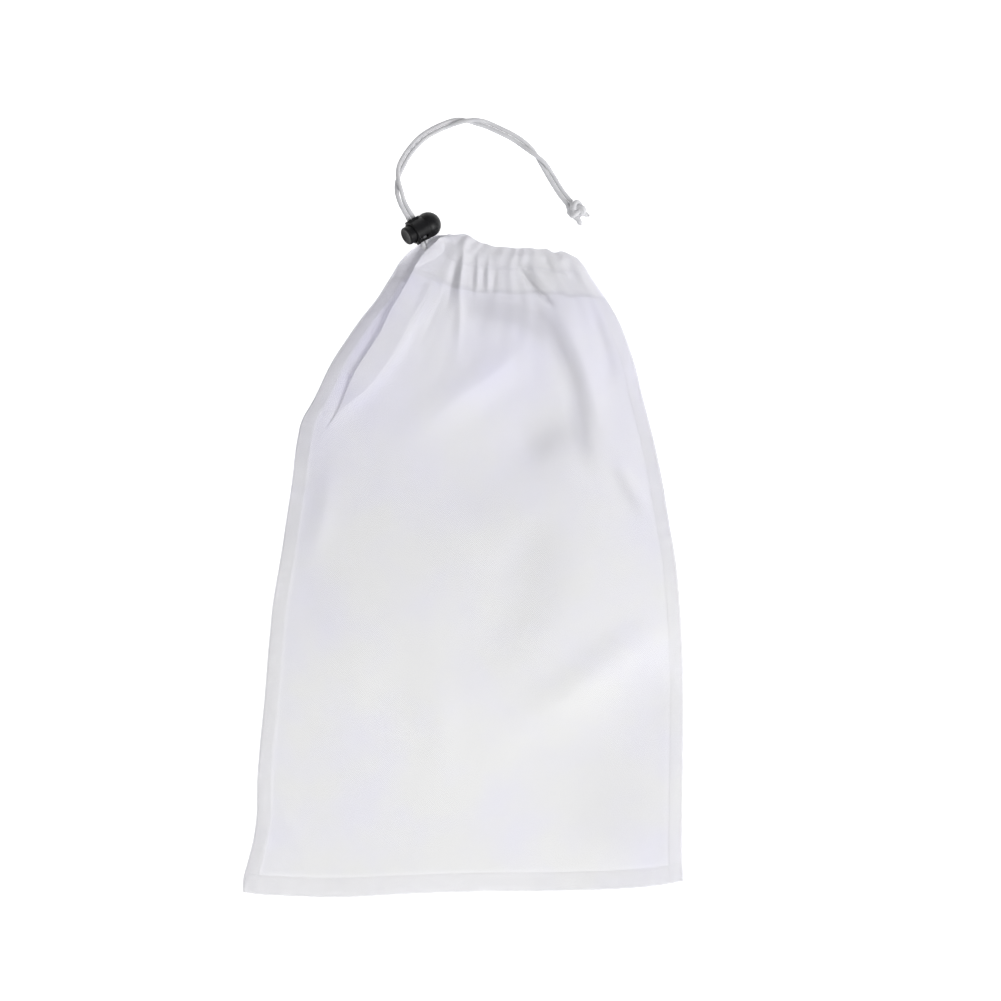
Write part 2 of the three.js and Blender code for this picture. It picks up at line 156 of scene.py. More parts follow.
def ease(x, low, high):
    """0 below low, 1 above high, smooth between."""
    t = np.clip((np.asarray(x, float) - low) / (high - low), 0, 1)
    return t * t * (3 - 2 * t)


# ---- Materials --------------------------------------------------------------------------------
class Nodes:
    """Shorthand for writing one material's node tree."""

    def __init__(self, name):
        self.material = bpy.data.materials.new(name)
        self.material.use_nodes = True
        self.tree = self.material.node_tree
        self.shader = self.tree.nodes["Principled BSDF"]

    def add(self, kind, inputs=None, **settings):
        node = self.tree.nodes.new(kind)
        for key, value in settings.items():
            setattr(node, key, value)
        for key, value in (inputs or {}).items():
            self.put(node.inputs[key], value)
        return node

    def put(self, socket, value):
        if isinstance(value, bpy.types.Node):
            value = value.outputs[0]
        if isinstance(value, bpy.types.NodeSocket):
            self.tree.links.new(value, socket)
        else:
            socket.default_value = value

    def math(self, operation, a, b=0.0):
        return self.add("ShaderNodeMath", {0: a, 1: b}, operation=operation)

    def ramp(self, value, low, high, to_low=0.0, to_high=1.0):
        sizes = {"Value": value, "From Min": low, "From Max": high, "To Min": to_low, "To Max": to_high}
        return self.add("ShaderNodeMapRange", sizes, interpolation_type="SMOOTHSTEP")

    def mix(self, share, a, b):
        node = self.add("ShaderNodeMix", data_type="RGBA")
        self.put(node.inputs[0], share)
        self.put(node.inputs[6], a)
        self.put(node.inputs[7], b)
        return node.outputs[2]

    def noise(self, where, scale, detail=3.0, roughness=0.5):
        return self.add("ShaderNodeTexNoise",
                        {"Vector": where, "Scale": scale, "Detail": detail, "Roughness": roughness})

    def bump(self, height, distance, strength=1.0):
        return self.add("ShaderNodeBump", {"Height": height, "Distance": distance, "Strength": strength})

    def finish(self, **inputs):
        for key, value in inputs.items():
            self.put(self.shader.inputs[key.replace("_", " ")], value)
        return self.material


def rgba(colour):
    return (*colour, 1.0)


def mesh_cloth(name, density, lift=1.0):
    """Fine knitted mesh: round holes on a three-way lattice, laid on the cloth's own UV map in metres, with
    painted shade and painted light from the cloth's attributes; a lift over 1 paints the cloth lighter, as
    painted light.
    """
    cloth = cloth_settings()
    n = Nodes(name)
    weave = n.add("ShaderNodeUVMap", uv_map="weave")
    parts = n.add("ShaderNodeSeparateXYZ", {0: weave})
    turn = 2 * math.pi / cloth.mesh_pitch
    across = n.math("MULTIPLY", parts.outputs[0], turn)
    along = n.math("MULTIPLY", parts.outputs[1], turn * math.sqrt(3) / 2)
    half = n.math("MULTIPLY", across, 0.5)
    waves = [across, n.math("ADD", half, along), n.math("SUBTRACT", half, along)]
    crests = [n.math("COSINE", wave) for wave in waves]
    lattice = n.math("ADD", n.math("ADD", crests[0], crests[1]), crests[2])
    closed = 1.6 - 2.4 * cloth.hole_share + 1.6 * density
    cover = n.ramp(lattice, closed + 0.35, closed - 0.35)
    place = n.add("ShaderNodeTexCoord").outputs["Object"]
    drift = n.noise(place, 45.0, 3.0)
    tint = n.add("ShaderNodeAttribute", attribute_name="tint").outputs["Fac"]
    tint = n.math("ADD", tint, n.ramp(drift, 0.3, 0.7, -0.14, 0.14))
    tint.use_clamp = True
    # lift paints the cloth lighter than its own colour: painted light
    plain = rgba([lift * part for part in cloth.cloth_colour])
    shaded = rgba([lift * part for part in cloth.shade_colour])
    colour = n.mix(tint, plain, shaded)
    # painted shade: the cloth's colour is darkened towards this grey where its painted shade attribute is
    # set
    painted_shade = n.add("ShaderNodeAttribute", attribute_name="painted_shade").outputs["Fac"]
    colour = n.mix(painted_shade, colour, (0.50, 0.495, 0.54, 1))
    # lighter where the cloth lies doubled on the seam bands and the casing, and painted light on the lap,
    # on the folds' ridges and more on the left seam band
    doubled_and_painted_light = n.add("ShaderNodeAttribute", attribute_name="doubled_and_painted_light").outputs["Fac"]
    colour = n.mix(doubled_and_painted_light, colour, (0.95, 0.945, 0.97, 1))
    slubs = n.noise(place, 900.0, 2.0)
    colour = n.mix(n.ramp(slubs, 0.35, 0.75, 0.0, 0.10), colour, (0.66, 0.66, 0.70, 1))
    relief = n.bump(n.math("SUBTRACT", 1.0, lattice), 0.00004, 0.35)
    return n.finish(Base_Color=colour, Roughness=0.72, Sheen_Weight=0.25, Sheen_Roughness=0.4,
                    Alpha=cover, Normal=relief)


def braided_cord():
    n = Nodes("braided_cord")
    weave = n.add("ShaderNodeUVMap", uv_map="weave")
    parts = n.add("ShaderNodeSeparateXYZ", {0: weave})
    round_it, along = parts.outputs[0], parts.outputs[1]
    yarn = n.math("SINE", n.math("ADD", n.math("MULTIPLY", round_it, 2 * math.pi * 24),
                                 n.math("MULTIPLY", along, 2 * math.pi / 0.0011)))
    place = n.add("ShaderNodeTexCoord").outputs["Object"]
    grime = n.noise(place, 120.0, 3.0)
    fibre = n.noise(place, 5200.0, 2.0)
    colour = n.mix(n.ramp(grime, 0.3, 0.8), rgba(cord_settings().cord_colour), (0.60, 0.60, 0.63, 1))
    # painted shade: the cord is darker in the grooves between the braid's yarns
    colour = n.mix(n.ramp(yarn, -1.0, 0.2, 0.28, 0.0), colour, (0.36, 0.36, 0.40, 1))
    height = n.math("ADD", n.math("MULTIPLY", yarn, 0.5), n.math("MULTIPLY", fibre, 0.5))
    return n.finish(Base_Color=colour, Roughness=0.62, Sheen_Weight=0.2,
                    Normal=n.bump(height, 0.00009, 0.8))


def sewing_thread():
    n = Nodes("sewing_thread")
    place = n.add("ShaderNodeTexCoord").outputs["Object"]
    ply = n.noise(place, 3500.0, 2.0)
    colour = n.mix(ply, rgba(cord_settings().thread_colour), (0.68, 0.68, 0.71, 1))
    return n.finish(Base_Color=colour, Roughness=0.5, Sheen_Weight=0.15, Normal=n.bump(ply, 0.00004))


def moulded_plastic():
    """Satin black moulding with a fine spark-eroded grain and paler rubbed spots."""
    lock = lock_settings()
    n = Nodes("moulded_plastic")
    place = n.add("ShaderNodeTexCoord").outputs["Object"]
    grain = n.noise(place, 4200.0, 3.0)
    rubbed = n.noise(place, 420.0, 4.0)
    colour = n.mix(n.ramp(rubbed, 0.55, 0.8, 0.0, 0.6), rgba(lock.plastic_colour), (0.02, 0.02, 0.023, 1))
    rough = n.ramp(rubbed, 0.3, 0.8, lock.plastic_roughness - 0.06, lock.plastic_roughness + 0.1)
    return n.finish(Base_Color=colour, Roughness=rough, Specular_IOR_Level=0.22,
                    Normal=n.bump(grain, 0.00003, 0.7))


def spring_wire():
    n = Nodes("spring_wire")
    place = n.add("ShaderNodeTexCoord").outputs["Object"]
    drawn = n.noise(place, 2600.0, 2.0)
    colour = n.mix(drawn, (0.50, 0.50, 0.52, 1), (0.68, 0.68, 0.70, 1))
    return n.finish(Base_Color=colour, Metallic=1.0, Roughness=n.ramp(drawn, 0.2, 0.8, 0.22, 0.4))


def pale_floor():
    n = Nodes("pale_floor")
    place = n.add("ShaderNodeTexCoord").outputs["Object"]
    faint = n.noise(place, 3.0, 2.0)
    colour = n.mix(faint, (0.93, 0.93, 0.93, 1), (0.95, 0.95, 0.95, 1))
    return n.finish(Base_Color=colour, Roughness=0.9, Emission_Color=(1, 1, 1, 1), Emission_Strength=0.72)


FINISHES = {
    "mesh_cloth": lambda: mesh_cloth("mesh_cloth", 0.0),
    # the seam allowances are painted 14 per cent lighter than the cloth: painted light
    "seam_cloth": lambda: mesh_cloth("seam_cloth", 0.1, 1.14),
    "cord": braided_cord,
    "thread": sewing_thread,
    "plastic": moulded_plastic,
    "spring": spring_wire,
    "floor": pale_floor,
}
made_finishes = {}


def finish_of(name):
    if name not in made_finishes:
        made_finishes[name] = FINISHES[name]()
    return made_finishes[name]


# ---- Meshes -----------------------------------------------------------------------------------
def piece_from(name, points, faces, finish, uvs=None, smooth=True):
    """A new object at the origin from an (n, 3) array of places in metres and a list of faces."""
    mesh = bpy.data.meshes.new(name)
    mesh.from_pydata(np.asarray(points, float).tolist(), [], faces)
    if uvs is not None:
        layer = mesh.uv_layers.new(name="weave")
        corner = np.empty(len(mesh.loops), dtype=np.int32)
        mesh.loops.foreach_get("vertex_index", corner)
        layer.data.foreach_set("uv", np.asarray(uvs, np.float32)[corner].ravel())
    mesh.materials.append(finish_of(finish))
    mesh.polygons.foreach_set("use_smooth", [smooth] * len(mesh.polygons))
    mesh.update()
    piece = bpy.data.objects.new(name, mesh)
    bpy.context.scene.collection.objects.link(piece)
    return piece


def grid_faces(rows, columns, wrap=False, flip=False):
    """Quads over a rows by columns grid of points, closed round each row where it wraps."""
    last = columns if wrap else columns - 1
    r, c = np.meshgrid(np.arange(rows - 1), np.arange(last), indexing="ij")
    a = r * columns + c
    b = r * columns + (c + 1) % columns
    quads = np.stack([a, b, b + columns, a + columns], axis=-1).reshape(-1, 4)
    if flip:
        quads = quads[:, ::-1]
    return quads.tolist()


def apply_all(piece):
    """Turns a piece with its modifiers into a plain mesh."""
    depsgraph = bpy.context.evaluated_depsgraph_get()
    plain = bpy.data.meshes.new_from_object(piece.evaluated_get(depsgraph))
    piece.modifiers.clear()
    piece.data = plain


def stands_for(piece, body, slot, *nodes):
    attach(piece, body)
    if nodes:
        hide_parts(*nodes)
    return piece


# ---- Cords ------------------------------------------------------------------------------------
CORD_DIAMETER = 3.0 * MM
STRAND_SPACING = 3.5 * MM   # in the lock
LOOSE_SPACING = 3.14 * MM   # on the table
DOME_RADIUS = 8.7 * MM
HOLE_FROM_DOME = -9.0 * MM  # along the lock's axis
COLLAR_REACH = 8.6 * MM
TABLE_CLEARANCE = 0.05 * MM
TWIST_AT = (31 * MM, 98 * MM, 152 * MM)  # along the tails, where they cross
TWIST_LENGTH = 34 * MM
KNOT_LONG, KNOT_WIDE, KNOT_TALL = 1.5 * MM, 1.75 * MM, 1.9 * MM  # half sizes of the overhand turn
KNOT_ASIDE = 0.9 * MM    # the turn's middle, to the tails' left
KNOT_APART = 0.75 * MM   # each strand's own turn from that middle
KNOT_TUBE = 3.7 * MM     # a strand pulled into the knot looks a little thicker

# The middle line between the two tails, in millimetres from the lock's cord hole, as in the part.
TAIL_ROUTE_MM = [
    (-4.45, 7.7, 0), (-7, 12.12, 0), (-10.4, 18.5, -0.1), (-12.4, 25, -1.2), (-13.5, 32, -4),
    (-12.9, 39.5, -7.4), (-10, 47.3, -10), (-5.1, 55, -11.2), (2.9, 63.4, -11.4), (13.8, 69.9, -11.4),
    (27.8, 74.5, -11.4), (42.9, 73.3, -11.4), (55.8, 68.1, -11.4), (66.6, 62.4, -11.4),
    (76.3, 54.8, -11.4), (84.5, 45.7, -11.4), (90.9, 35.5, -11.4), (96.6, 26.3, -11.2),
    (102.4, 18.9, -9.6),
]

LOCK_LOW, LOCK_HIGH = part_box("cord_lock_body")
DOME = Vector((LOCK_HIGH[0] - DOME_RADIUS, LOCK_HIGH[1] - DOME_RADIUS, LOCK_LOW[2] + DOME_RADIUS))
LOCK_AXIS = JOINT_AXIS["plunger_press"]
CORD_AXIS = JOINT_AXIS["lock_slide"]
CORD_HOLE = DOME + LOCK_AXIS * HOLE_FROM_DOME
LOCK_TILT = -math.asin(LOCK_AXIS.z)


def rounded_path(points, step):
    """Even steps along a centripetal curve through the points, as an (n, 3) array."""
    p = np.array([list(point) for point in points], float)
    p = np.vstack([2 * p[0] - p[1], p, 2 * p[-1] - p[-2]])
    fine = []
    for i in range(1, len(p) - 2):
        knots = [0.0]
        for a, b in ((i - 1, i), (i, i + 1), (i + 1, i + 2)):
            knots.append(knots[-1] + math.sqrt(np.linalg.norm(p[b] - p[a])))
        t = np.linspace(knots[1], knots[2], 24, endpoint=False)[:, None]
        k = knots
        a1 = ((k[1] - t) * p[i - 1] + (t - k[0]) * p[i]) / (k[1] - k[0])
        a2 = ((k[2] - t) * p[i] + (t - k[1]) * p[i + 1]) / (k[2] - k[1])
        a3 = ((k[3] - t) * p[i + 1] + (t - k[2]) * p[i + 2]) / (k[3] - k[2])
        b1 = ((k[2] - t) * a1 + (t - k[0]) * a2) / (k[2] - k[0])
        b2 = ((k[3] - t) * a2 + (t - k[1]) * a3) / (k[3] - k[1])
        fine.append(((k[2] - t) * b1 + (t - k[1]) * b2) / (k[2] - k[1]))
    fine = np.vstack(fine + [p[-2][None]])
    run = np.concatenate([[0], np.cumsum(np.linalg.norm(np.diff(fine, axis=0), axis=1))])
    even = np.linspace(0, run[-1], max(3, int(round(run[-1] / step)) + 1))
    return np.stack([np.interp(even, run, fine[:, k]) for k in range(3)], axis=1)


def path_frames(path):
    """Unit tangents and two unit sides along a path that turn as little as they can."""
    tangent = np.gradient(path, axis=0)
    tangent /= np.linalg.norm(tangent, axis=1)[:, None]
    side = np.zeros_like(path)
    first = np.cross(tangent[0], (0, 0, 1.0))
    if np.linalg.norm(first) < 0.1:
        first = np.cross(tangent[0], (0, 1.0, 0))
    side[0] = first / np.linalg.norm(first)
    for i in range(1, len(path)):
        kept = side[i - 1] - tangent[i] * np.dot(side[i - 1], tangent[i])
        side[i] = kept / np.linalg.norm(kept)
    return tangent, side, np.cross(tangent, side)


BRAID_YARNS = 8          # in each of the braid's two sets
BRAID_LAY = 5.2 * MM     # of the cord for one yarn's width of turn
END_LENGTH = 0.35        # of a rounded end, as a share of the diameter
END_DROP = 0.55          # how far a rounded end closes


def braided_tube(name, path, diameter, around=28, rounded_ends=False):
    """A closed cord along a path, with a plaited relief of two sets of yarns."""
    relief = cord_settings().braid_relief
    _, side, up = path_frames(path)
    run = np.concatenate([[0], np.cumsum(np.linalg.norm(np.diff(path, axis=0), axis=1))])
    angle = np.linspace(0, 2 * math.pi, around, endpoint=False)
    s, a = np.meshgrid(run, angle, indexing="ij")
    turn = 2 * math.pi * s / (BRAID_LAY * BRAID_YARNS)
    left, right = BRAID_YARNS * (a + turn), BRAID_YARNS * (a - turn)
    over = 0.5 + 0.5 * np.sign(np.sin(left / 2) * np.sin(right / 2))
    swell = over * np.abs(np.cos(left / 2)) + (1 - over) * np.abs(np.cos(right / 2))
    radius = diameter / 2 - relief + relief * swell
    if rounded_ends:
        shoulder = np.minimum(np.minimum(s, run[-1] - s) / (END_LENGTH * diameter), 1.0)
        radius = radius * (1 - END_DROP * (1 - np.sqrt(np.clip(1 - (1 - shoulder) ** 2, 0, 1))))
    out = np.cos(a)[..., None] * side[:, None, :] + np.sin(a)[..., None] * up[:, None, :]
    points = (path[:, None, :] + radius[..., None] * out).reshape(-1, 3)
    uv = np.stack([a / (2 * math.pi), s], axis=-1).reshape(-1, 2)
    rows = len(path)
    faces = grid_faces(rows, around, wrap=True, flip=True)
    points = np.vstack([points, path[0], path[-1]])
    uv = np.vstack([uv, [0, 0], [0, run[-1]]])
    start, end = rows * around, rows * around + 1
    faces += [[start, (i + 1) % around, i][::-1] for i in range(around)]
    base = (rows - 1) * around
    faces += [[end, base + i, base + (i + 1) % around][::-1] for i in range(around)]
    return piece_from(name, points, faces, "cord", uv)


def tail_path(side):
    """One tail beside the middle line, with a half turn round the other strand at each twist."""
    middle = rounded_path([CORD_HOLE + Vector(point) * MM for point in TAIL_ROUTE_MM], 0.5 * MM)
    run = np.concatenate([[0], np.cumsum(np.linalg.norm(np.diff(middle, axis=0), axis=1))])
    tangent, _, _ = path_frames(middle)
    beside = np.stack([tangent[:, 1], -tangent[:, 0], np.zeros(len(run))], axis=1)
    beside /= np.linalg.norm(beside, axis=1)[:, None]
    roll = -LOCK_TILT * (1 - ease(run, 12 * MM, 24 * MM))
    for place in TWIST_AT:
        roll = roll + math.pi * ease(run, place - TWIST_LENGTH / 2, place + TWIST_LENGTH / 2)
    half = side / 2 * (STRAND_SPACING + (LOOSE_SPACING - STRAND_SPACING) * ease(run, 14 * MM, 26 * MM))
    lift = np.abs(half * np.sin(roll)) * ease(run, 18 * MM, 40 * MM)
    path = middle + beside * (half * np.cos(roll))[:, None]
    floor = CORD_DIAMETER / 2 + TABLE_CLEARANCE
    path[:, 2] = np.maximum(floor, middle[:, 2] + half * np.sin(roll) + lift)
    return path


def tail_strand(side, name, node):
    path = tail_path(side)
    strand = stands_for(braided_tube(name, path, CORD_DIAMETER), "bag", "cord", node)
    return strand


def knot_strand(side, letter, fray_width, seed):
    """One strand's turns through the shared overhand knot and out to its cut end."""
    low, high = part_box("tail_knot")
    middle = (np.array(low) + np.array(high)) / 2
    last = tail_path(side)[-1]
    along = middle - np.array(CORD_HOLE + Vector(TAIL_ROUTE_MM[-1]) * MM)
    along[2] = 0
    along /= np.linalg.norm(along)
    across = np.array([-along[1], along[0], 0])
    up = np.array([0, 0, 1.0])
    turns = [last]
    for t in np.linspace(math.pi + 0.45, 3 * math.pi - 0.45, 40):
        forward = KNOT_LONG * (math.sin(t) + 2 * math.sin(2 * t))
        sideways = KNOT_WIDE * (math.cos(t) - 2 * math.cos(2 * t)) + KNOT_ASIDE + KNOT_APART * side
        rise = (0.1 + 0.5 * side) * MM - KNOT_TALL * math.sin(3 * t)
        turns.append(middle + along * forward + across * sideways + up * rise)
    low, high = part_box("knot_end_" + letter)
    centre = (np.array(low) + np.array(high)) / 2
    out = centre - middle
    out[2] = 0
    out /= np.linalg.norm(out)
    end = [centre - out * 2.2 * MM, centre + out * 1.2 * MM]
    for place, height in zip(end, (2.9 * MM, 1.75 * MM)):
        place[2] = height
    path = rounded_path(turns + end, 0.4 * MM)
    path[:, 2] = np.maximum(path[:, 2], KNOT_TUBE / 2 + 2 * TABLE_CLEARANCE)
    tube = braided_tube("knot_strand_" + letter, path, KNOT_TUBE, around=20, rounded_ends=True)
    nodes = ["knot_end_" + letter] + (["tail_knot"] if letter == "a" else [])
    stands_for(tube, "bag", "cord", *nodes)
    fray = stands_for(frayed_tip("knot_fray_" + letter, path, fray_width, seed), "bag", "cord")
    return [tube, fray]


def frayed_tip(name, path, wide, seed):
    """Loose filaments out of a cut end."""
    rng = np.random.default_rng(seed)
    tangent, side, up = path_frames(path)
    points, faces, uvs = [], [], []
    for _ in range(26):
        angle = rng.uniform(0, 2 * math.pi)
        out = side[-1] * math.cos(angle) + up[-1] * math.sin(angle)
        root = path[-1] - tangent[-1] * 0.5 * MM + out * rng.uniform(0, 1.05) * MM * wide
        reach = rng.uniform(0.9, 2.0) * MM
        spread = rng.uniform(0.1, 0.8)
        base = len(points)
        for k in range(4):
            share = k / 3
            place = root + tangent[-1] * reach * share + out * reach * spread * share ** 2
            thick = 0.16 * MM * (1 - 0.6 * share)
            place[2] = max(place[2], thick)
            for corner in range(3):
                turn = corner * 2 * math.pi / 3
                points.append(place + (side[-1] * math.cos(turn) + up[-1] * math.sin(turn)) * thick)
                uvs.append((corner / 3, reach * share))
        for k in range(3):
            for corner in range(3):
                a, b = base + k * 3 + corner, base + k * 3 + (corner + 1) % 3
                faces.append([a, a + 3, b + 3, b])
        faces.append([base, base + 1, base + 2])
        faces.append([base + 11, base + 10, base + 9])
    return piece_from(name, points, faces, "cord", uvs)


class MESH_OT_bag_tails(bpy.types.Operator):
    """Lay both cord tails, their knot and its cut ends"""
    bl_idname = "bag.tails"
    bl_label = "Cord tails"

    def execute(self, context):
        knot_pieces = knot_strand(1, "a", 1.0, 11) + knot_strand(-1, "b", 0.85, 12)
        tail_strand(1, "tail_a", "tail_strand_a")
        tail_strand(-1, "tail_b", "tail_strand_b")
        return {"FINISHED"}


# ---- Stage ------------------------------------------------------------------------------------
VIEW_CENTRE_MM = (24.4, 266.4)  # where the camera looks, in the bag's own millimetres
VIEW_WIDTH = 0.6777
CAMERA_HEIGHT = 3.0
SENSOR = 36.0
FLOOR_REACH = 2.5
FLOOR_DROP = -0.0002     # under the bag, so that the two never share a plane


def area_light(name, place, towards, size, power):
    light = bpy.data.lights.new(name, "AREA")
    light.shape = "RECTANGLE"
    light.size = light.size_y = size
    light.energy = power
    lamp = bpy.data.objects.new(name, light)
    lamp.location = place
    lamp.rotation_euler = (Vector(towards) - Vector(place)).to_track_quat("-Z", "Y").to_euler()
    bpy.context.scene.collection.objects.link(lamp)


class MESH_OT_bag_stage(bpy.types.Operator):
    """Set the pale floor, the soft lights and the camera straight over the bag"""
    bl_idname = "bag.stage"
    bl_label = "Stage"

    def execute(self, context):
        scene = context.scene
        scene.view_settings.view_transform = "Standard"
        camera = bpy.data.cameras.new("camera")
        camera.sensor_width = SENSOR
        camera.lens = SENSOR * CAMERA_HEIGHT / VIEW_WIDTH
        camera.dof.use_dof = False
        eye = bpy.data.objects.new("camera", camera)
        eye.location = at(*VIEW_CENTRE_MM) + Vector((0, 0, CAMERA_HEIGHT))
        scene.collection.objects.link(eye)
        scene.camera = eye
        corners = [(x * FLOOR_REACH, y * FLOOR_REACH, FLOOR_DROP)
                   for x, y in ((-1, -1), (1, -1), (1, 1), (-1, 1))]
        floor = piece_from("floor", corners, [[0, 1, 2, 3]], "floor", smooth=False)
        centre = at(*VIEW_CENTRE_MM)
        area_light("key", centre + Vector((2.1, -0.8, 1.9)), centre, 1.4, 75.0)
        area_light("fill", centre + Vector((-1.2, -0.3, 2.7)), centre, 2.2, 22.0)
        world = bpy.data.worlds.new("studio")
        world.use_nodes = True
        surround = world.node_tree.nodes["Background"].inputs
        surround["Color"].default_value = (1, 1, 1, 1)
        surround["Strength"].default_value = 0.30
        scene.world = world
        return {"FINISHED"}


# ---- Cloth ------------------------------------------------------------------------------------
ROWS, COLUMNS = 330, 250
BACK_ROWS, BACK_COLUMNS = 220, 170
CASING_ROW = 0.935   # share of the way up where the casing's stitching runs
SIDE_RUN_MM = 444    # of the bag's left side
SIDE_ALLOWANCE_MM = 9.5
HEM_ALLOWANCE_MM = 13

# The bag's outline in its own millimetres: (up, across) along the sides, (across, up) along the ends.
LEFT_SIDE = [(1, -150), (9.5, -150), (23, -146.6), (36.6, -143.2), (50, -141.2), (77, -140.5),
             (104, -138.4), (131, -135.7), (172, -132.4), (199, -129.6), (226, -124.9), (253, -120.8),
             (280, -116.8), (307, -113.4), (321, -110), (334, -102.6), (361.5, -89), (375, -80.2),
             (388.6, -70.7), (402, -60), (417, -50.4), (429, -42.5), (437.5, -33), (445, -20)]
RIGHT_SIDE = [(8.8, 148.8), (23, 147.9), (64, 148), (165, 147.9), (199, 145.9), (226, 143.2),
              (253, 138.6), (280, 134.2), (307, 128.5), (334, 121.5), (361.5, 114.6), (375, 110),
              (388.6, 104.4), (402, 96.7), (419, 85.2), (427, 80), (430.6, 76.5)]
HEM_LINE = [(-150, 1), (-136, -0.7), (-123, -1.4), (-82, -2.4), (-42, -0.4), (0, 1.2), (66, 2),
            (107, 3.4), (134, 6), (148.8, 8.8)]
MOUTH_LINE = [(-20, 445), (-13, 446), (-8, 444.9), (-1, 446.3), (3, 445.4), (7, 442.8), (11.2, 440.5),
              (15.3, 439.6), (19.3, 438), (27, 437.6), (36, 436.6), (43.7, 437), (50, 436),
              (56, 436.2), (60, 433.9), (66, 434.8), (72, 432.4), (76.5, 430.6)]

# Folds in the front: where each runs (bag millimetres), its height, its half width, how sharp it is
# (0 rounded, 1 creased), and the shares of its length over which its start and its end fade.
FRONT_FOLDS = [
    # the rolls and slits between the gathers, from the stitching up into the casing, and beside the lap
    ([(-3.0, 431), (-6.5, 421), (-9.5, 405), (-12, 392)], -1.6, 2.8, 0.5, 0.30, 0.5),
    ([(1.2, 446), (-0.6, 431), (-2.6, 411), (-3.2, 382), (-6.0, 352)], 2.4, 3.0, 0.5, 0.05, 0.6),
    ([(7.0, 428), (5.8, 418), (5.2, 400)], -1.2, 2.0, 0.4, 0.45, 0.45),
    ([(9.4, 436), (9.0, 420), (9.4, 404)], 1.0, 1.8, 0.3, 0.3, 0.3),
    ([(14.4, 429), (12.4, 417), (11.8, 402)], -1.2, 2.0, 0.4, 0.45, 0.45),
    ([(16.8, 434), (16.0, 418), (16.4, 404)], 1.0, 1.9, 0.3, 0.3, 0.3),
    ([(22.6, 428), (20.4, 418), (19.4, 402)], -1.2, 2.3, 0.4, 0.45, 0.45),
    ([(36.0, 427), (40.5, 418), (47.0, 410), (55.5, 402.5), (62.5, 394)], -3.0, 1.7, 0.8, 0.3, 0.3),
    ([(42.0, 428), (48.5, 419), (56.0, 411.5), (64, 404)], 1.6, 3.0, 0.4, 0.3, 0.3),
    ([(52, 434), (56, 426), (62, 418)], -1.2, 2.4, 0.4, 0.4, 0.4),
    ([(66, 431), (72, 421), (78, 409)], -1.4, 2.6, 0.4, 0.4, 0.4),
    ([(59, 434), (65, 425), (72, 413)], 1.0, 3.0, 0.3, 0.4, 0.4),
    ([(-22, 432), (-27, 422), (-36, 405)], -1.6, 2.4, 0.5, 0.4, 0.5),
    ([(-7, 443), (-10, 436), (-14, 428)], -1.3, 1.7, 0.5, 0.3, 0.4),
    ([(-13, 441), (-17, 433), (-24, 423), (-30, 414)], 1.2, 1.9, 0.5, 0.3, 0.4),
    ([(-26, 438), (-33, 430), (-40, 419)], -1.2, 2.0, 0.5, 0.3, 0.4),
    ([(-30, 428), (-38, 416), (-46, 402)], 0.9, 2.6, 0.3, 0.3, 0.4),
    ([(-8, 420), (-16, 402), (-24, 384), (-34, 362)], -0.9, 3.0, 0.4, 0.3, 0.5),
    ([(-20, 412), (-30, 392), (-44, 366), (-60, 338)], 0.9, 4.5, 0.2, 0.3, 0.5),
    ([(-17, 424), (-24, 410), (-31, 396), (-38, 384)], -1.3, 2.4, 0.5, 0.4, 0.5),
    # the sag under the casing, round into the long valley on the right
    ([(2, 407), (14, 406), (29, 401.5), (42, 397), (51, 389), (59, 378)], -2.2, 8.0, 0.1, 0.3, 0.3),
    ([(46, 399), (53, 389), (62, 371), (70, 355), (75.5, 337), (80, 311), (85, 288)],
     -3.2, 7.5, 0.15, 0.2, 0.45),
    ([(54, 404), (63, 393), (74.5, 372), (83, 350), (89.5, 322), (95, 296)], 2.3, 8.5, 0.3, 0.25, 0.5),
    ([(81, 400), (89, 385), (97, 362), (104, 335)], -1.3, 5.0, 0.3, 0.3, 0.5),
    # the belly under it, with a soft ridge down to the left
    ([(52, 374), (28, 358), (2, 340), (-26, 320), (-62, 299)], 4.2, 13.0, 0.25, 0.3, 0.6),
    ([(96, 291), (106, 274), (119, 253)], -1.1, 4.6, 0.4, 0.35, 0.4),
    ([(100, 296), (111, 280), (126, 256)], 1.2, 4.5, 0.4, 0.35, 0.4),
    ([(74, 322), (60, 312), (40, 303), (12, 292)], -2.8, 14.0, 0.0, 0.4, 0.6),
    ([(-60, 345), (-72, 328), (-84, 306)], -0.7, 12.0, 0.0, 0.4, 0.5),
    ([(60, 262), (40, 232), (16, 200)], -1.4, 12.0, 0.0, 0.4, 0.5),
    ([(150, 190), (112, 166), (72, 138), (34, 112), (2, 90)], 3.2, 14.0, 0.0, 0.35, 0.6),
    ([(150, 172), (112, 144), (74, 112), (46, 86)], 1.6, 22.0, 0.0, 0.2, 0.5),
    ([(76, 262), (52, 222), (24, 172), (0, 132)], -2.0, 18.0, 0.0, 0.4, 0.5),
    ([(-104, 302), (-107, 280), (-104, 256), (-98, 238)], -0.9, 12.0, 0.0, 0.35, 0.5),
    ([(-88, 300), (-92, 274), (-98, 244), (-106, 214)], 1.5, 8.0, 0.2, 0.4, 0.5),
    ([(-110, 222), (-104, 196), (-100, 170)], -0.5, 9.0, 0.1, 0.4, 0.5),
    ([(-40, 190), (-44, 150), (-38, 104)], -0.8, 14.0, 0.0, 0.4, 0.5),
    ([(-20, 150), (-14, 112), (-22, 66)], 0.8, 10.0, 0.1, 0.4, 0.5),
    ([(-128, 60), (-118, 44), (-102, 30)], 0.8, 5.0, 0.3, 0.4, 0.5),
    ([(-140, 36), (-132, 26), (-120, 18)], 0.9, 3.0, 0.5, 0.3, 0.5),
    ([(138, 44), (132, 30), (120, 20)], -0.7, 4.0, 0.4, 0.4, 0.5),
]
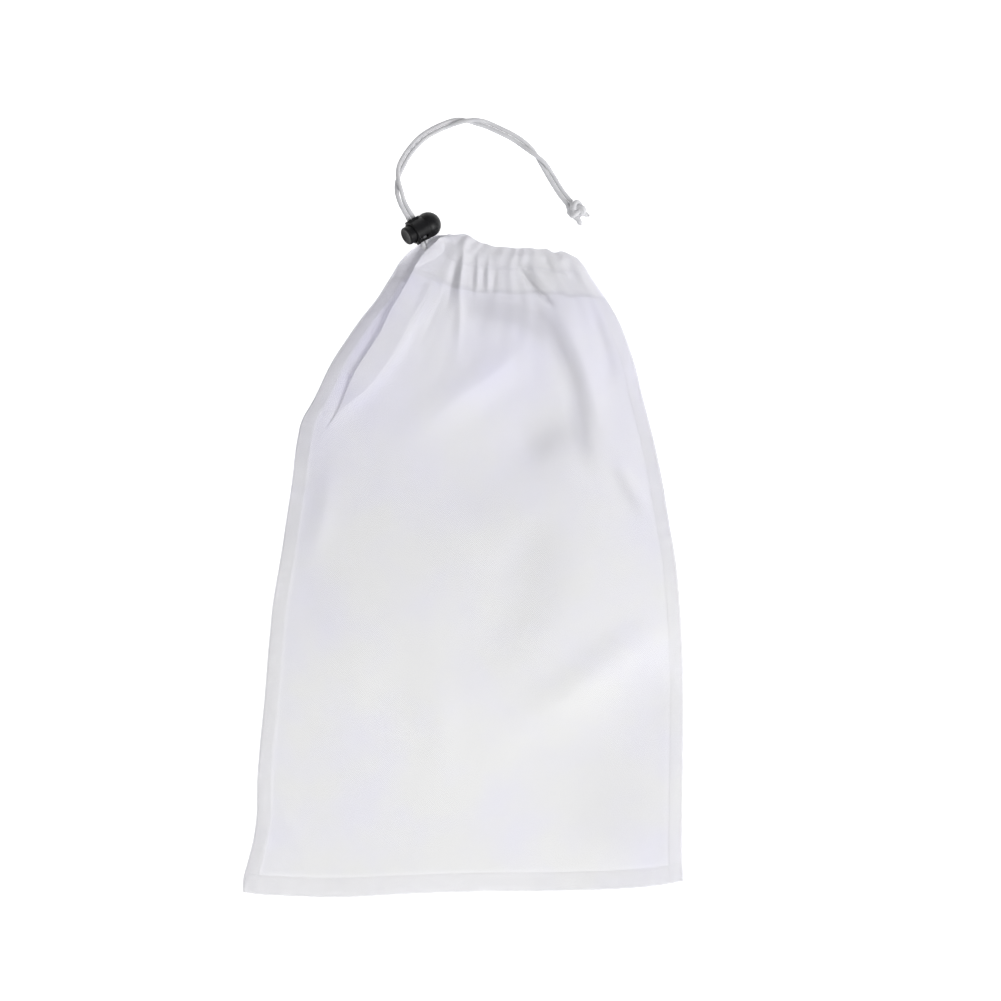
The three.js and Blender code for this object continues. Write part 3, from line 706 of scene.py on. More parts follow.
# Painted shade: lines along which the cloth's colour is darkened where it lies deeper: where it runs, how
# much, half width.
PAINTED_SHADES = [
    ([(0, 398), (14, 396), (29, 392), (42, 389), (52, 383), (60, 373)], 0.52, 8.5),
    ([(55, 385), (65, 368), (71.5, 350), (76.5, 330), (81, 308), (87, 284)], 0.36, 6.0),
    ([(36, 427), (47, 411), (60, 397)], 0.44, 2.0),
    ([(84, 320), (64, 312), (40, 302)], 0.32, 14.0),
    ([(96, 292), (107, 273), (121, 252)], 0.10, 5.0),
    ([(60, 252), (44, 222), (24, 172), (0, 132)], 0.06, 22.0),
    ([(70, 296), (30, 270), (0, 250)], 0.12, 24.0),
    ([(-84, 310), (-94, 286), (-104, 250)], 0.05, 14.0),
    ([(-22, 420), (-36, 400), (-50, 376)], 0.20, 3.5),
    ([(150, 150), (112, 92), (100, 20)], 0.26, 40.0),
    ([(-11, 437), (-14, 427), (-19, 416)], 0.34, 4.5),
    ([(7, 426), (5.5, 404)], 0.18, 1.8),
    ([(13.4, 426), (12, 404)], 0.18, 1.8),
    ([(21.4, 426), (19.6, 404)], 0.18, 2.0),
]

# The back's gathers under the neck and its two soft waves, in the same terms as the front's folds.
BACK_FOLDS = [
    ([(-12, 438), (-15, 412), (-26, 372)], 1.5, 3.4, 0.3, 0.2, 0.6),
    ([(4, 440), (2, 412), (-2, 372)], 1.5, 3.2, 0.3, 0.2, 0.6),
    ([(21, 437), (21, 410), (22, 366)], 1.5, 3.4, 0.3, 0.2, 0.6),
    ([(38, 435), (42, 408), (50, 366)], 1.5, 3.4, 0.3, 0.2, 0.6),
    ([(56, 434), (64, 408), (80, 362)], 1.5, 3.6, 0.3, 0.2, 0.6),
    ([(-30, 424), (-44, 396), (-64, 356)], 1.4, 4.0, 0.3, 0.2, 0.6),
    ([(-60, 330), (-40, 280), (-30, 220)], 0.7, 12.0, 0.1, 0.4, 0.5),
    ([(90, 300), (70, 250), (60, 190)], 0.7, 12.0, 0.1, 0.4, 0.5),
]

# The flap: the front is laid over itself along this line, from the mouth to low on the left.
FLAP_LINE = [(-9, 447), (-15, 437), (-22, 428), (-27.5, 419), (-32, 410.5), (-37.5, 401), (-43.5, 391),
             (-50, 377), (-66.5, 352), (-82, 331), (-96, 312)]
FLAP_PITCH_MM = 3.6  # the lap is about four of these wide
FLAP_RISE_MM = 2.6

# Heights of the front over the table, in millimetres.
EDGE_MM = 1.3        # at the sewn edges
EDGE_LIFT_MM = 0.3   # more at the edges below the neck
NECK_LIFT_MM = 2.4   # more at the edges in the neck
CASING_MM = 11.0     # inside the casing's sides
CROWN_MM = 3.0       # more in the casing's middle
SIDE_MM = 1.9        # just inside the sewn edges
CLEAR_MM = 0.35      # the least gap to the back, at the edges
CORD_ROW = 0.972     # share of the way up where the casing bulges round the cord


def outline_at(s, t):
    """A bilinear patch between the bag's four edges, in bag millimetres."""
    def left(v):
        y = 1 + SIDE_RUN_MM * v
        return np.stack([through(LEFT_SIDE, y), y], -1)

    def right(v):
        y = 8.8 + 421.8 * v
        return np.stack([through(RIGHT_SIDE, y), y], -1)

    def low(u):
        x = -150 + 298.8 * u
        return np.stack([x, through(HEM_LINE, x)], -1)

    def high(u):
        x = -20 + 96.5 * u
        return np.stack([x, through(MOUTH_LINE, x)], -1)

    u, v = s[..., None], t[..., None]
    start, end = np.array(0.0), np.array(1.0)
    hem_corners = (1 - u) * (1 - v) * low(start) + u * (1 - v) * low(end)
    flat = hem_corners + (1 - u) * v * high(start) + u * v * high(end)
    return (1 - u) * left(t) + u * right(t) + (1 - v) * low(s) + v * high(s) - flat


def width_at(t):
    """The bag's width in millimetres at a share of the way up."""
    return 298 - 190 * t ** 3.4


def smooth_line(places, step=4.0):
    """Even steps along a curve through (across, up) places, as an (n, 2) array."""
    return rounded_path([(*place, 0) for place in places], step)[:, :2]


def from_line(x, y, line):
    """Distance to a line of places, which side of it (+ on the right), and the share along it."""
    line = np.asarray(line, float)
    steps = np.linalg.norm(np.diff(line, axis=0), axis=1)
    run = np.concatenate([[0], np.cumsum(steps)])
    best = np.full(x.shape, 1e9)
    side = np.zeros(x.shape)
    share = np.zeros(x.shape)
    for i, step in enumerate(steps):
        ax, ay = line[i]
        dx, dy = (line[i + 1] - line[i]) / step
        along = np.clip((x - ax) * dx + (y - ay) * dy, 0, step)
        ox, oy = x - ax - along * dx, y - ay - along * dy
        gap = np.hypot(ox, oy)
        near = gap < best
        best = np.where(near, gap, best)
        side = np.where(near, np.sign(ox * dy - oy * dx), side)
        share = np.where(near, (run[i] + along) / run[-1], share)
    return best, side, share


def folds_at(x, y, folds):
    """Summed height of the folds at each place, in millimetres."""
    height = np.zeros(x.shape)
    for line, rise, width, sharp, start, end in folds:
        gap, _, share = from_line(x, y, smooth_line(line))
        q = gap / width
        soft = np.exp(-q * q)
        crease = np.exp(-1.3 * q) * (1 + 0.6 * q)
        fade = ease(share, 0, max(start, 0.01)) * ease(1 - share, 0, max(end, 0.01))
        height += rise * fade * ((1 - sharp) * soft + sharp * crease)
    return height


def ripple(x, y, seed, size):
    """Gentle unevenness from a few crossed waves of about the given size."""
    rng = np.random.default_rng(seed)
    total = np.zeros(x.shape)
    for _ in range(9):
        turn = rng.uniform(0, math.pi)
        wave = size * rng.uniform(0.7, 1.6)
        phase = rng.uniform(0, 6.3)
        total += np.sin((x * math.cos(turn) + y * math.sin(turn)) * 2 * math.pi / wave + phase)
    return total / 9


def cloth_grid(rows, columns):
    """Shares across and up for every point, closer together in the neck and on the flap's side."""
    across = through([(0, 0), (0.6, 0.46), (1, 1)], np.linspace(0, 1, columns))
    up = through([(0, 0), (0.5, 0.64), (0.7, 0.82), (1, 1)], np.linspace(0, 1, rows))
    across, up = (across - across[0]) / np.ptp(across), (up - up[0]) / np.ptp(up)
    return np.meshgrid(across, up)


def neck_of(t):
    return ease(t, 0.62, 0.93)


def rim_of(s, t):
    """0 at the sewn edges, 1 a little way in."""
    side = np.minimum(s, 1 - s) * (300 - 200 * t) / 12
    share = np.clip(np.minimum(side, t * SIDE_RUN_MM / 24), 0, 1)
    return np.sqrt(share * (2 - share))


def gathered(s, t, count, offset, sway, rate):
    """Waves of gathered cloth that grow towards the mouth."""
    return np.sin(s * 2 * math.pi * count + offset + sway * np.sin(s * rate)) * ease(t, 0.72, 0.95)


def front_loft(s, t, rim, open_end):
    """The front's height in millimetres before its folds: edges, belly, neck and cord channel."""
    neck = neck_of(t)
    loft = cloth_settings().body_loft / MM
    dome = (1 - np.abs(2 * s - 1) ** 2.6) * (0.25 + 0.75 * ease(t, 0.02, 0.42))
    body = SIDE_MM + (loft - SIDE_MM) * dome
    casing = CASING_MM + CROWN_MM * (1 - (2 * s - 1) ** 4)
    inner = body + (casing - body) * neck
    edge = EDGE_MM + EDGE_LIFT_MM * ease(0.9 - t, 0, 0.3) + NECK_LIFT_MM * neck
    z = edge + (inner - edge) * rim + 1.5 * open_end
    # the casing bulges round the cord, and nips in at its stitching and at the mouth
    z += 0.6 * np.exp(-((t - CORD_ROW) / 0.018) ** 2) * rim
    z -= 0.35 * np.exp(-((t - CASING_ROW) / 0.008) ** 2) * rim
    z -= 1.6 * ease(t, 0.985, 1.0) * rim
    return z


def flap_at(x, y):
    """The lap at each place: its shift, its lift, the place across it in pitches, and its strength."""
    line = smooth_line(FLAP_LINE, 3.0)
    gap, side, share = from_line(x, y, line)
    pitch = FLAP_PITCH_MM * (0.55 + 0.45 * ease(share, 0.0, 0.15)) * (1 - 0.35 * ease(share, 0.7, 1.0))
    across = -side * gap / pitch
    strength = ease(share, -0.02, 0.05) * ease(1 - share, -0.04, 0.34)
    push = 3.0 * pitch * strength * across * np.exp(-(np.minimum(across * across, 60) - 1) / 2)
    i = np.clip((share * (len(line) - 1)).astype(int), 0, len(line) - 2)
    along = line[i + 1] - line[i]
    along /= np.linalg.norm(along, axis=-1)[..., None]
    shift = np.stack([push * along[..., 1], -push * along[..., 0]], axis=-1)
    over = 1 / (1 + np.exp(-np.clip(across * 3.5, -30, 30)))
    reach = np.exp(-(np.minimum(gap, 60) / 26) ** 2)
    return shift, strength * FLAP_RISE_MM * (over - 0.5) * reach, across, strength


def painted_shading_at(x, y, folds, neck, across, strength):
    """Painted shading of the cloth: painted shade in the folds' valleys, along the painted shade lines,
    from the middle of the bag up and in the neck, and painted light (less than 0) on the folds' ridges, on
    the lap and on the cloth beside the flap's edge in its shadow.
    """
    # painted light on the lap and on the cloth just beyond the flap's edge, which lies in the flap's shadow
    painted_lap_light = 0.62 * np.exp(-((across - 1.6) / 2.2) ** 2) + 0.36 * np.exp(-((across + 2.6) / 2.4) ** 2)
    painted_shading = -0.04 * folds - strength * painted_lap_light + 0.10 * neck + 0.22 * ease(y, 110, 270)
    for line, amount, width in PAINTED_SHADES:
        gap, _, share = from_line(x, y, smooth_line(line))
        painted_shading += amount * np.exp(-(gap / width) ** 2) * ease(np.minimum(share, 1 - share), -0.05, 0.2)
    return painted_shading


def front_points(s, t):
    """The front panel, its casing and its flap, in bag millimetres, and the cloth's painted shading."""
    place = outline_at(s, t)
    x, y = place[..., 0], place[..., 1]
    neck = neck_of(t)
    open_end = ease(t, 0.945, 0.985) * ease(0.4 - s, 0.0, 0.3)
    rim = rim_of(s, t)
    rim = rim + (1 - rim) * open_end
    folds = folds_at(x, y, FRONT_FOLDS)
    z = front_loft(s, t, rim, open_end) + rim * (folds + 0.22 * gathered(s, t, 13, 0, 1.1, 21))
    z += rim * (0.55 * ripple(x, y, 5, 60) + 0.22 * ripple(x, y, 6, 17) * (0.6 + 0.7 * neck))
    shift, lift, across, strength = flap_at(x, y)
    painted_shading = painted_shading_at(x, y, folds, neck, across, strength)
    keep = ease(np.minimum(s, 1 - s), 0.0, 0.03)
    z += lift * keep
    # the front never sinks into the back
    least = back_points(s, t)[2] + CLEAR_MM + 0.75 * rim
    z = least + 0.5 * (z - least + np.hypot(z - least, 0.1 + 0.9 * rim))
    return x + shift[..., 0] * keep, y + shift[..., 1] * keep, z, painted_shading


def back_points(s, t):
    """The back panel and its casing, in bag millimetres, with no painted shading."""
    place = outline_at(s, t)
    x, y = place[..., 0], place[..., 1]
    neck = neck_of(t)
    rim = rim_of(s, t)
    z = 0.55 + (0.6 + 0.5 * ripple(x, y, 9, 55)) * rim
    z += neck * (0.9 * rim + 0.6)
    z += rim * (folds_at(x, y, BACK_FOLDS) + 0.6 * gathered(s, t, 12, 0.7, 1, 17))
    return x, y, np.maximum(z, 0.25), np.zeros(z.shape)


def in_place(*bag_mm):
    """Bag millimetres as an (..., 3) array of metres in the row frame."""
    points = np.stack(bag_mm, axis=-1) * MM
    points[..., 0] += BAG_ZERO.x
    points[..., 1] += BAG_ZERO.y
    return points


def paint_cloth(piece, s, t, x, y, painted_shading):
    """Sets how far each point drifts to the tint, how much painted shade it carries, and how much lighter
    it reads, partly for a second layer of cloth and partly as painted light.
    """
    edge = ease(np.minimum(s, 1 - s), 0.28, 0.0)
    inside = np.minimum(np.minimum(s, 1 - s) * width_at(t) - SIDE_ALLOWANCE_MM,
                        t * SIDE_RUN_MM - HEM_ALLOWANCE_MM - 0.2)
    # lighter on the sewn bands, where the allowance doubles the cloth, and more on the left and lower down
    # as painted light
    sewn_and_painted_light = 0.80 * ease(inside, 4.0, -2.0) * (1 - 0.60 * ease(s, 0.5, 0.9)) * (1 - 0.6 * ease(t, 0.35, 0.75))
    turned = 0.36 * ease(t, CASING_ROW - 0.004, CASING_ROW + 0.004)
    tint = 0.10 + 0.62 * ease(y, 190, 400) + 0.25 * edge + 0.5 * ripple(x, y, 3, 90) - 0.5 * np.abs(painted_shading)
    doubled_and_painted_light = np.maximum(np.maximum(sewn_and_painted_light, turned), np.clip(-painted_shading, 0, 1))
    layers = {"tint": np.clip(tint, 0, 1), "painted_shade": np.clip(painted_shading, 0, 0.8), "doubled_and_painted_light": doubled_and_painted_light}
    for title, values in layers.items():
        layer = piece.data.attributes.new(title, "FLOAT", "POINT")
        layer.data.foreach_set("value", values.astype(np.float32).ravel())


def weave_of(points, across_first):
    """The cloth's UVs, turned for every other layer, because two like lattices make a moire."""
    return woven(points) if across_first else woven(points)[:, ::-1]


def sheet_piece(name, where, rows, columns):
    s, t = cloth_grid(rows, columns)
    x, y, z, painted_shading = where(s, t)
    points = in_place(x, y, z)
    front = where is front_points
    faces = grid_faces(rows, columns, flip=not front)
    piece = piece_from(name, points.reshape(-1, 3), faces, "mesh_cloth", weave_of(points, front))
    paint_cloth(piece, s, t, x, y, painted_shading)
    return piece


def woven(points):
    """UVs in metres: the length of cloth along each row from its middle, and up each column."""
    along = np.linalg.norm(np.diff(points, axis=1), axis=2)
    across = np.concatenate([np.zeros((len(points), 1)), np.cumsum(along, axis=1)], axis=1)
    across -= across[:, points.shape[1] // 2][:, None]
    rise = np.linalg.norm(np.diff(points[:, points.shape[1] // 2], axis=0), axis=1)
    up = np.concatenate([[0], np.cumsum(rise)])
    return np.stack([across, np.repeat(up[:, None], points.shape[1], axis=1)], axis=-1).reshape(-1, 2)


def allowance(name, node, s_of, t_of, rows):
    """A sewn allowance: both panels' edges, folded into the bag and lying between them."""
    columns = 9
    run, inward = np.meshgrid(np.linspace(0, 1, rows), np.linspace(0, 1, columns), indexing="ij")
    s, t = s_of(run, inward), t_of(run, inward)
    place = outline_at(s, t)
    x, y = place[..., 0], place[..., 1]
    over, under = front_points(s, t)[2], back_points(s, t)[2]
    wave = np.abs(0.25 * np.sin(run * rows * 0.35) * inward)
    z = under + np.clip((over - under) * (0.30 + 0.10 * inward), 0.15, 2.4) + wave
    layers = [in_place(x, y, height).reshape(-1, 3)
              for height in (np.minimum(z + 0.30, over - 0.35), np.minimum(z, over - 0.65))]
    top = grid_faces(rows, columns)
    count = rows * columns
    bottom = [[count + k for k in face][::-1] for face in top]
    rim = list(range(columns))
    rim += [k * columns + columns - 1 for k in range(1, rows)]
    rim += [(rows - 1) * columns + k for k in range(columns - 2, -1, -1)]
    rim += [k * columns for k in range(rows - 2, 0, -1)]
    wall = [[a, b, count + b, count + a] for a, b in zip(rim, rim[1:] + rim[:1])]
    weave = np.stack([y, x], -1).reshape(-1, 2) * MM
    uvs = np.concatenate([weave, weave + 0.0004])
    piece = piece_from(name, np.concatenate(layers), top + bottom + wall, "seam_cloth", uvs)
    tidy_faces(piece)
    return stands_for(piece, "bag", "seam_cloth", node)


def tidy_faces(piece):
    """Merges doubles and turns every face outward."""
    mesh = bmesh.new()
    mesh.from_mesh(piece.data)
    bmesh.ops.remove_doubles(mesh, verts=mesh.verts, dist=1e-7)
    bmesh.ops.recalc_face_normals(mesh, faces=mesh.faces)
    mesh.to_mesh(piece.data)
    mesh.free()
    piece.data.update()


def turned_layer(name, node, where, gap_mm):
    """The cloth turned over the cord at the mouth and stitched down, inside its panel."""
    rows, columns = 26, 150
    s, t = np.meshgrid(np.linspace(0.012, 0.985, columns), np.linspace(CASING_ROW - 0.006, 1.0, rows))
    x, y, z, _ = where(s, t)
    share = np.clip((t - CASING_ROW) / (1 - CASING_ROW), 0, 1)
    inward = 0.35 + gap_mm * np.sin(math.pi * share ** 1.15) ** 0.6 * np.sign(share)
    inward = np.where(share >= 1, 0.0, inward)
    front = where is front_points
    points = in_place(x, y, z - inward if front else z + inward)
    faces = grid_faces(rows, columns, flip=front)
    piece = piece_from(name, points.reshape(-1, 3), faces, "mesh_cloth", weave_of(points, not front))
    return stands_for(piece, "bag", "mesh_cloth", node)


class MESH_OT_bag_panels(bpy.types.Operator):
    """Lay the front and back panels with their folds and turned casings"""
    bl_idname = "bag.panels"
    bl_label = "Panels"

    def execute(self, context):
        front = sheet_piece("front_cloth", front_points, ROWS, COLUMNS)
        stands_for(front, "bag", "mesh_cloth", "front_panel")
        back = sheet_piece("back_cloth", back_points, BACK_ROWS, BACK_COLUMNS)
        stands_for(back, "bag", "mesh_cloth", "back_panel")
        turned_layer("front_turned_edge", "front_casing", front_points, 5.2)
        turned_layer("back_turned_edge", "back_casing", back_points, 4.0)
        return {"FINISHED"}


class MESH_OT_bag_seams(bpy.types.Operator):
    """Fold the sewn allowances of both sides and the hem into the bag"""
    bl_idname = "bag.seams"
    bl_label = "Seam allowances"

    def execute(self, context):
        def inward(run, share):
            return share * SIDE_ALLOWANCE_MM / width_at(run * CASING_ROW)

        def up(run, _):
            return 0.002 + run * (CASING_ROW - 0.004)

        def up_hem(_, share):
            return 0.001 + share * HEM_ALLOWANCE_MM / SIDE_RUN_MM

        allowance("left_allowance", "left_side_seam",
                  lambda run, share: 0.0015 + inward(run, share), up, 300)
        allowance("right_allowance", "right_side_seam",
                  lambda run, share: 0.9985 - inward(run, share), up, 300)
        allowance("hem_allowance", "hem_seam", lambda run, share: 0.002 + 0.996 * run, up_hem, 240)
        return {"FINISHED"}


# ---- Stitches ---------------------------------------------------------------------------------
STITCH_SHARE = 0.85      # of the pitch that a stitch fills
STITCH_STEPS = 420       # places along each seam's line
SIDE_STITCH_MM = 1.6     # from the side's edge
HEM_STITCH_MM = 1.7      # from the hem's edge


def stitch_nodes():
    """A node group that sews along a mesh's edges: one short thread for each stitch."""
    group = bpy.data.node_groups.new("stitches_along_edges", "GeometryNodeTree")
    face = group.interface
    face.new_socket("Edges", in_out="INPUT", socket_type="NodeSocketGeometry")
    for name, value in (("Stitch pitch", 0.0028), ("Stitch length", 0.0024), ("Thread radius", 0.00016)):
        socket = face.new_socket(name, in_out="INPUT", socket_type="NodeSocketFloat")
        socket.default_value = value
    face.new_socket("Finish", in_out="INPUT", socket_type="NodeSocketMaterial")
    face.new_socket("Stitches", in_out="OUTPUT", socket_type="NodeSocketGeometry")
    nodes, links = group.nodes, group.links
    given = nodes.new("NodeGroupInput").outputs
    curve = nodes.new("GeometryNodeMeshToCurve")
    even = nodes.new("GeometryNodeResampleCurve")
    even.mode = "LENGTH"
    tangent = nodes.new("GeometryNodeInputTangent")
    capture = nodes.new("GeometryNodeCaptureAttribute")
    capture.capture_items.new("VECTOR", "Run")
    turn = nodes.new("FunctionNodeAlignRotationToVector")
    turn.axis = "X"
    bead = nodes.new("GeometryNodeMeshUVSphere")
    bead.inputs["Segments"].default_value = 8
    bead.inputs["Rings"].default_value = 6
    bead.inputs["Radius"].default_value = 1.0
    half = nodes.new("ShaderNodeMath")
    half.operation = "MULTIPLY"
    half.inputs[1].default_value = 0.5
    size = nodes.new("ShaderNodeCombineXYZ")
    shape = nodes.new("GeometryNodeTransform")
    place = nodes.new("GeometryNodeInstanceOnPoints")
    real = nodes.new("GeometryNodeRealizeInstances")
    paint = nodes.new("GeometryNodeSetMaterial")
    out = nodes.new("NodeGroupOutput")
    links.new(given["Edges"], curve.inputs["Mesh"])
    links.new(curve.outputs["Curve"], even.inputs["Curve"])
    links.new(given["Stitch pitch"], even.inputs["Length"])
    links.new(even.outputs["Curve"], capture.inputs["Geometry"])
    links.new(tangent.outputs["Tangent"], capture.inputs["Run"])
    links.new(capture.outputs["Run"], turn.inputs["Vector"])
    links.new(given["Stitch length"], half.inputs[0])
    links.new(half.outputs[0], size.inputs["X"])
    links.new(given["Thread radius"], size.inputs["Y"])
    links.new(given["Thread radius"], size.inputs["Z"])
    links.new(bead.outputs["Mesh"], shape.inputs["Geometry"])
    links.new(size.outputs["Vector"], shape.inputs["Scale"])
    links.new(capture.outputs["Geometry"], place.inputs["Points"])
    links.new(shape.outputs["Geometry"], place.inputs["Instance"])
    links.new(turn.outputs["Rotation"], place.inputs["Rotation"])
    links.new(place.outputs["Instances"], real.inputs["Geometry"])
    links.new(real.outputs["Geometry"], paint.inputs["Geometry"])
    links.new(given["Finish"], paint.inputs["Material"])
    links.new(paint.outputs["Geometry"], out.inputs["Stitches"])
    return group


def sew(name, points, group):
    """One row of stitches along a line of places, as a plain mesh."""
    settings = cord_settings()
    mesh = bpy.data.meshes.new(name)
    mesh.from_pydata(points.tolist(), [(i, i + 1) for i in range(len(points) - 1)], [])
    row = bpy.data.objects.new(name, mesh)
    bpy.context.scene.collection.objects.link(row)
    modifier = row.modifiers.new("stitches", "NODES")
    modifier.node_group = group
    pitch = settings.stitch_pitch
    sizes = {"Stitch pitch": pitch, "Stitch length": pitch * STITCH_SHARE,
             "Thread radius": settings.thread_radius, "Finish": finish_of("thread")}
    for item in group.interface.items_tree:
        if item.in_out == "INPUT" and item.name in sizes:
            modifier[item.identifier] = sizes[item.name]
    apply_all(row)
    row.data.polygons.foreach_set("use_smooth", [True] * len(row.data.polygons))
    return row


class MESH_OT_bag_stitches(bpy.types.Operator):
    """Sew the casings, the sides and the hem"""
    bl_idname = "bag.stitches"
    bl_label = "Stitching"

    def execute(self, context):
        group = stitch_nodes()
        across = np.linspace(0.015, 0.985, STITCH_STEPS)
        casing = np.full(STITCH_STEPS, CASING_ROW)
        up = np.linspace(0.004, CASING_ROW - 0.004, STITCH_STEPS)
        side = SIDE_STITCH_MM / width_at(up)
        hem = np.full(STITCH_STEPS, HEM_STITCH_MM / SIDE_RUN_MM)
        hem_across = np.linspace(0.006, 0.994, STITCH_STEPS)
        for name, where, s, t, raise_mm, nodes in (
                ("front_casing_stitches", front_points, across, casing, 0.12, ["front_casing_stitching"]),
                ("back_casing_stitches", back_points, across, casing, -0.12, ["back_casing_stitching"]),
                ("left_side_stitches", front_points, side, up, 0.08, []),
                ("right_side_stitches", front_points, 1 - side, up, 0.08, []),
                ("hem_stitches", front_points, hem_across, hem, 0.08, [])):
            x, y, z, _ = where(s, t)
            stitches = sew(name, in_place(x, y, z + raise_mm), group)
            stands_for(stitches, "bag", "thread", *nodes)
        return {"FINISHED"}


# ---- Drawcord ---------------------------------------------------------------------------------
LEAD_LIP = COLLAR_REACH - 0.3 * MM   # where the loop meets the tails, inside the collar
LOOP_SPAN = (0.13, 0.965)            # of the bag's width that the cord crosses in each casing
LOOP_ROW = 0.968                     # share of the way up where it lies in them


def in_channel(where, lift_mm):
    """Places along a casing, a little inside its cloth, with the cloth's gathers smoothed out."""
    s = np.linspace(*LOOP_SPAN, 60)
    x, y, z, _ = where(s, np.full(s.shape, LOOP_ROW))
    calm = np.convolve(np.pad(z, 6, mode="edge"), np.ones(13) / 13, mode="valid")
    return [at(*place) for place in zip(x, y, calm + lift_mm)][::4]


def lead_in(side, strand):
    """From inside the lock's collar out to the start of one side of the loop."""
    def in_lock(along):
        return CORD_HOLE + LOCK_AXIS * (side * STRAND_SPACING / 2) + CORD_AXIS * along

    lip = in_lock(-COLLAR_REACH - 0.6 * MM)
    bend = (lip - CORD_AXIS * 4 * MM + strand[0] + Vector((-5, 2, 0)) * MM) / 2
    return [in_lock(LEAD_LIP), in_lock(0), lip, bend]


class MESH_OT_bag_drawcord(bpy.types.Operator):
    """Run the cord from the lock through both casings and back"""
    bl_idname = "bag.drawcord"
    bl_label = "Drawcord"

    def execute(self, context):
        front = in_channel(front_points, -3.5)
        back = in_channel(back_points, 2.3)
        low, high = back[-1], front[-1]
        centre, radius = (low + high) / 2, (high.z - low.z) / 2
        turn = []
        for i in range(1, 6):
            angle = -math.pi / 2 + i * math.pi / 6
            turn.append(centre + Vector((0.6 * math.cos(angle), 0, math.sin(angle))) * radius)
        path = lead_in(1, back) + back + turn + front[::-1] + lead_in(-1, front)[::-1]
        cord = braided_tube("drawcord_loop", rounded_path(path, 0.6 * MM), CORD_DIAMETER)
        stands_for(cord, "bag", "cord", "drawcord")
        return {"FINISHED"}


# ---- Cord lock --------------------------------------------------------------------------------
BORE_RADIUS = 6.5 * MM
BARREL_RADIUS = 7.7 * MM
BARREL_END = -14.4 * MM
DOME_STEP = -4.2 * MM
POCKET_RADIUS = 4.7 * MM
POCKET_END = 5.4 * MM
BORE_END = 1.75 * MM
HOLE_SPAN = (-12.55 * MM, -5.15 * MM)  # of the cord hole, along the axis
HOLE_HEIGHT = 4.4 * MM
COLLAR_WALL = 1.6 * MM
WINDOW_SPAN = (-7.1 * MM, -5.6 * MM)   # of the slit in the collar, along the cord
PLUNGER_FACE = -19.4 * MM
PLUNGER_END = -3.05 * MM
PLUNGER_SLOT = (-17.05 * MM, -5.45 * MM)
PLUNGER_RADIUS = 6.2 * MM
SPRING_WIRE = 0.7 * MM
SPRING_SPAN = (-2.4 * MM, 4.75 * MM)
SPRING_RADIUS = 3.95 * MM
SPRING_TURNS = 4
RIM_ROUND = 0.6 * MM                   # of the barrel's open end
VOXEL = 0.19 * MM                      # of the remesh that rounds the mouldings
POLE_RADIUS = 0.001 * MM               # a pole is a ring this small until the remesh closes it


def in_lock_frame(points):
    """From the lock's own axes (button to dome, along the cord, up) to the row frame."""
    up = LOCK_AXIS.cross(CORD_AXIS)
    turn = np.array([LOCK_AXIS, CORD_AXIS, up])
    return np.asarray(points, float) @ turn + np.array(DOME)


def turned_form(profile, around=72):
    """A closed solid of revolution about the lock's axis from (along, radius) pairs."""
    angle = np.linspace(0, 2 * math.pi, around, endpoint=False)
    rings = []
    for along, radius in profile:
        reach = max(radius, POLE_RADIUS)
        ring = [np.full(around, along), reach * np.cos(angle), reach * np.sin(angle)]
        rings.append(np.stack(ring, axis=1))
    return np.vstack(rings), grid_faces(len(rings), around, wrap=True)


def bar_form(start, end, height, radius, reach, corner_steps=8):
    """A rounded bar along the cord's way, between two places on the lock's axis."""
    outline = []
    wide, tall = (end - start) / 2 - radius, height / 2 - radius
    for corner, (cx, cz) in enumerate(((wide, tall), (-wide, tall), (-wide, -tall), (wide, -tall))):
        for i in range(corner_steps + 1):
            angle = (corner + i / corner_steps) * math.pi / 2
            outline.append((cx + radius * math.cos(angle), cz + radius * math.sin(angle)))
    outline = np.array(outline)
    middle = (start + end) / 2
    rings = []
    for y in (-reach, reach):
        rings.append(np.stack([outline[:, 0] + middle, np.full(len(outline), y), outline[:, 1]], axis=1))
    count = len(outline)
    faces = grid_faces(2, count, wrap=True)
    faces += [list(range(count)), list(range(count, 2 * count))[::-1]]
    return np.vstack(rings), faces


def solid_of(name, form, finish):
    piece = piece_from(name, form[0], form[1], finish)
    tidy_faces(piece)
    return piece


def carve(base, tools, kind):
    """Joins or cuts each tool with the base and keeps the result."""
    for tool in tools:
        modifier = base.modifiers.new("cut", "BOOLEAN")
        modifier.operation = kind
        modifier.solver = "EXACT"
        modifier.object = tool
        apply_all(base)
        bpy.data.objects.remove(tool)


def moulded(piece, voxel, rounds):
    """Rounds every edge as a mould does, then sets the piece in the lock's place."""
    remesh = piece.modifiers.new("even", "REMESH")
    remesh.mode = "VOXEL"
    remesh.voxel_size = voxel
    relax = piece.modifiers.new("round", "SMOOTH")
    relax.factor = 0.5
    relax.iterations = rounds
    apply_all(piece)
    mesh = piece.data
    points = np.empty(len(mesh.vertices) * 3)
    mesh.vertices.foreach_get("co", points)
    mesh.vertices.foreach_set("co", in_lock_frame(points.reshape(-1, 3)).ravel())
    mesh.materials.clear()
    mesh.materials.append(finish_of("plastic"))
    mesh.polygons.foreach_set("use_smooth", [True] * len(mesh.polygons))
    mesh.update()
    tidy_faces(piece)


def cord_hole_form(span, reach):
    return bar_form(*span, HOLE_HEIGHT, HOLE_HEIGHT / 2 - 0.1 * MM, reach)


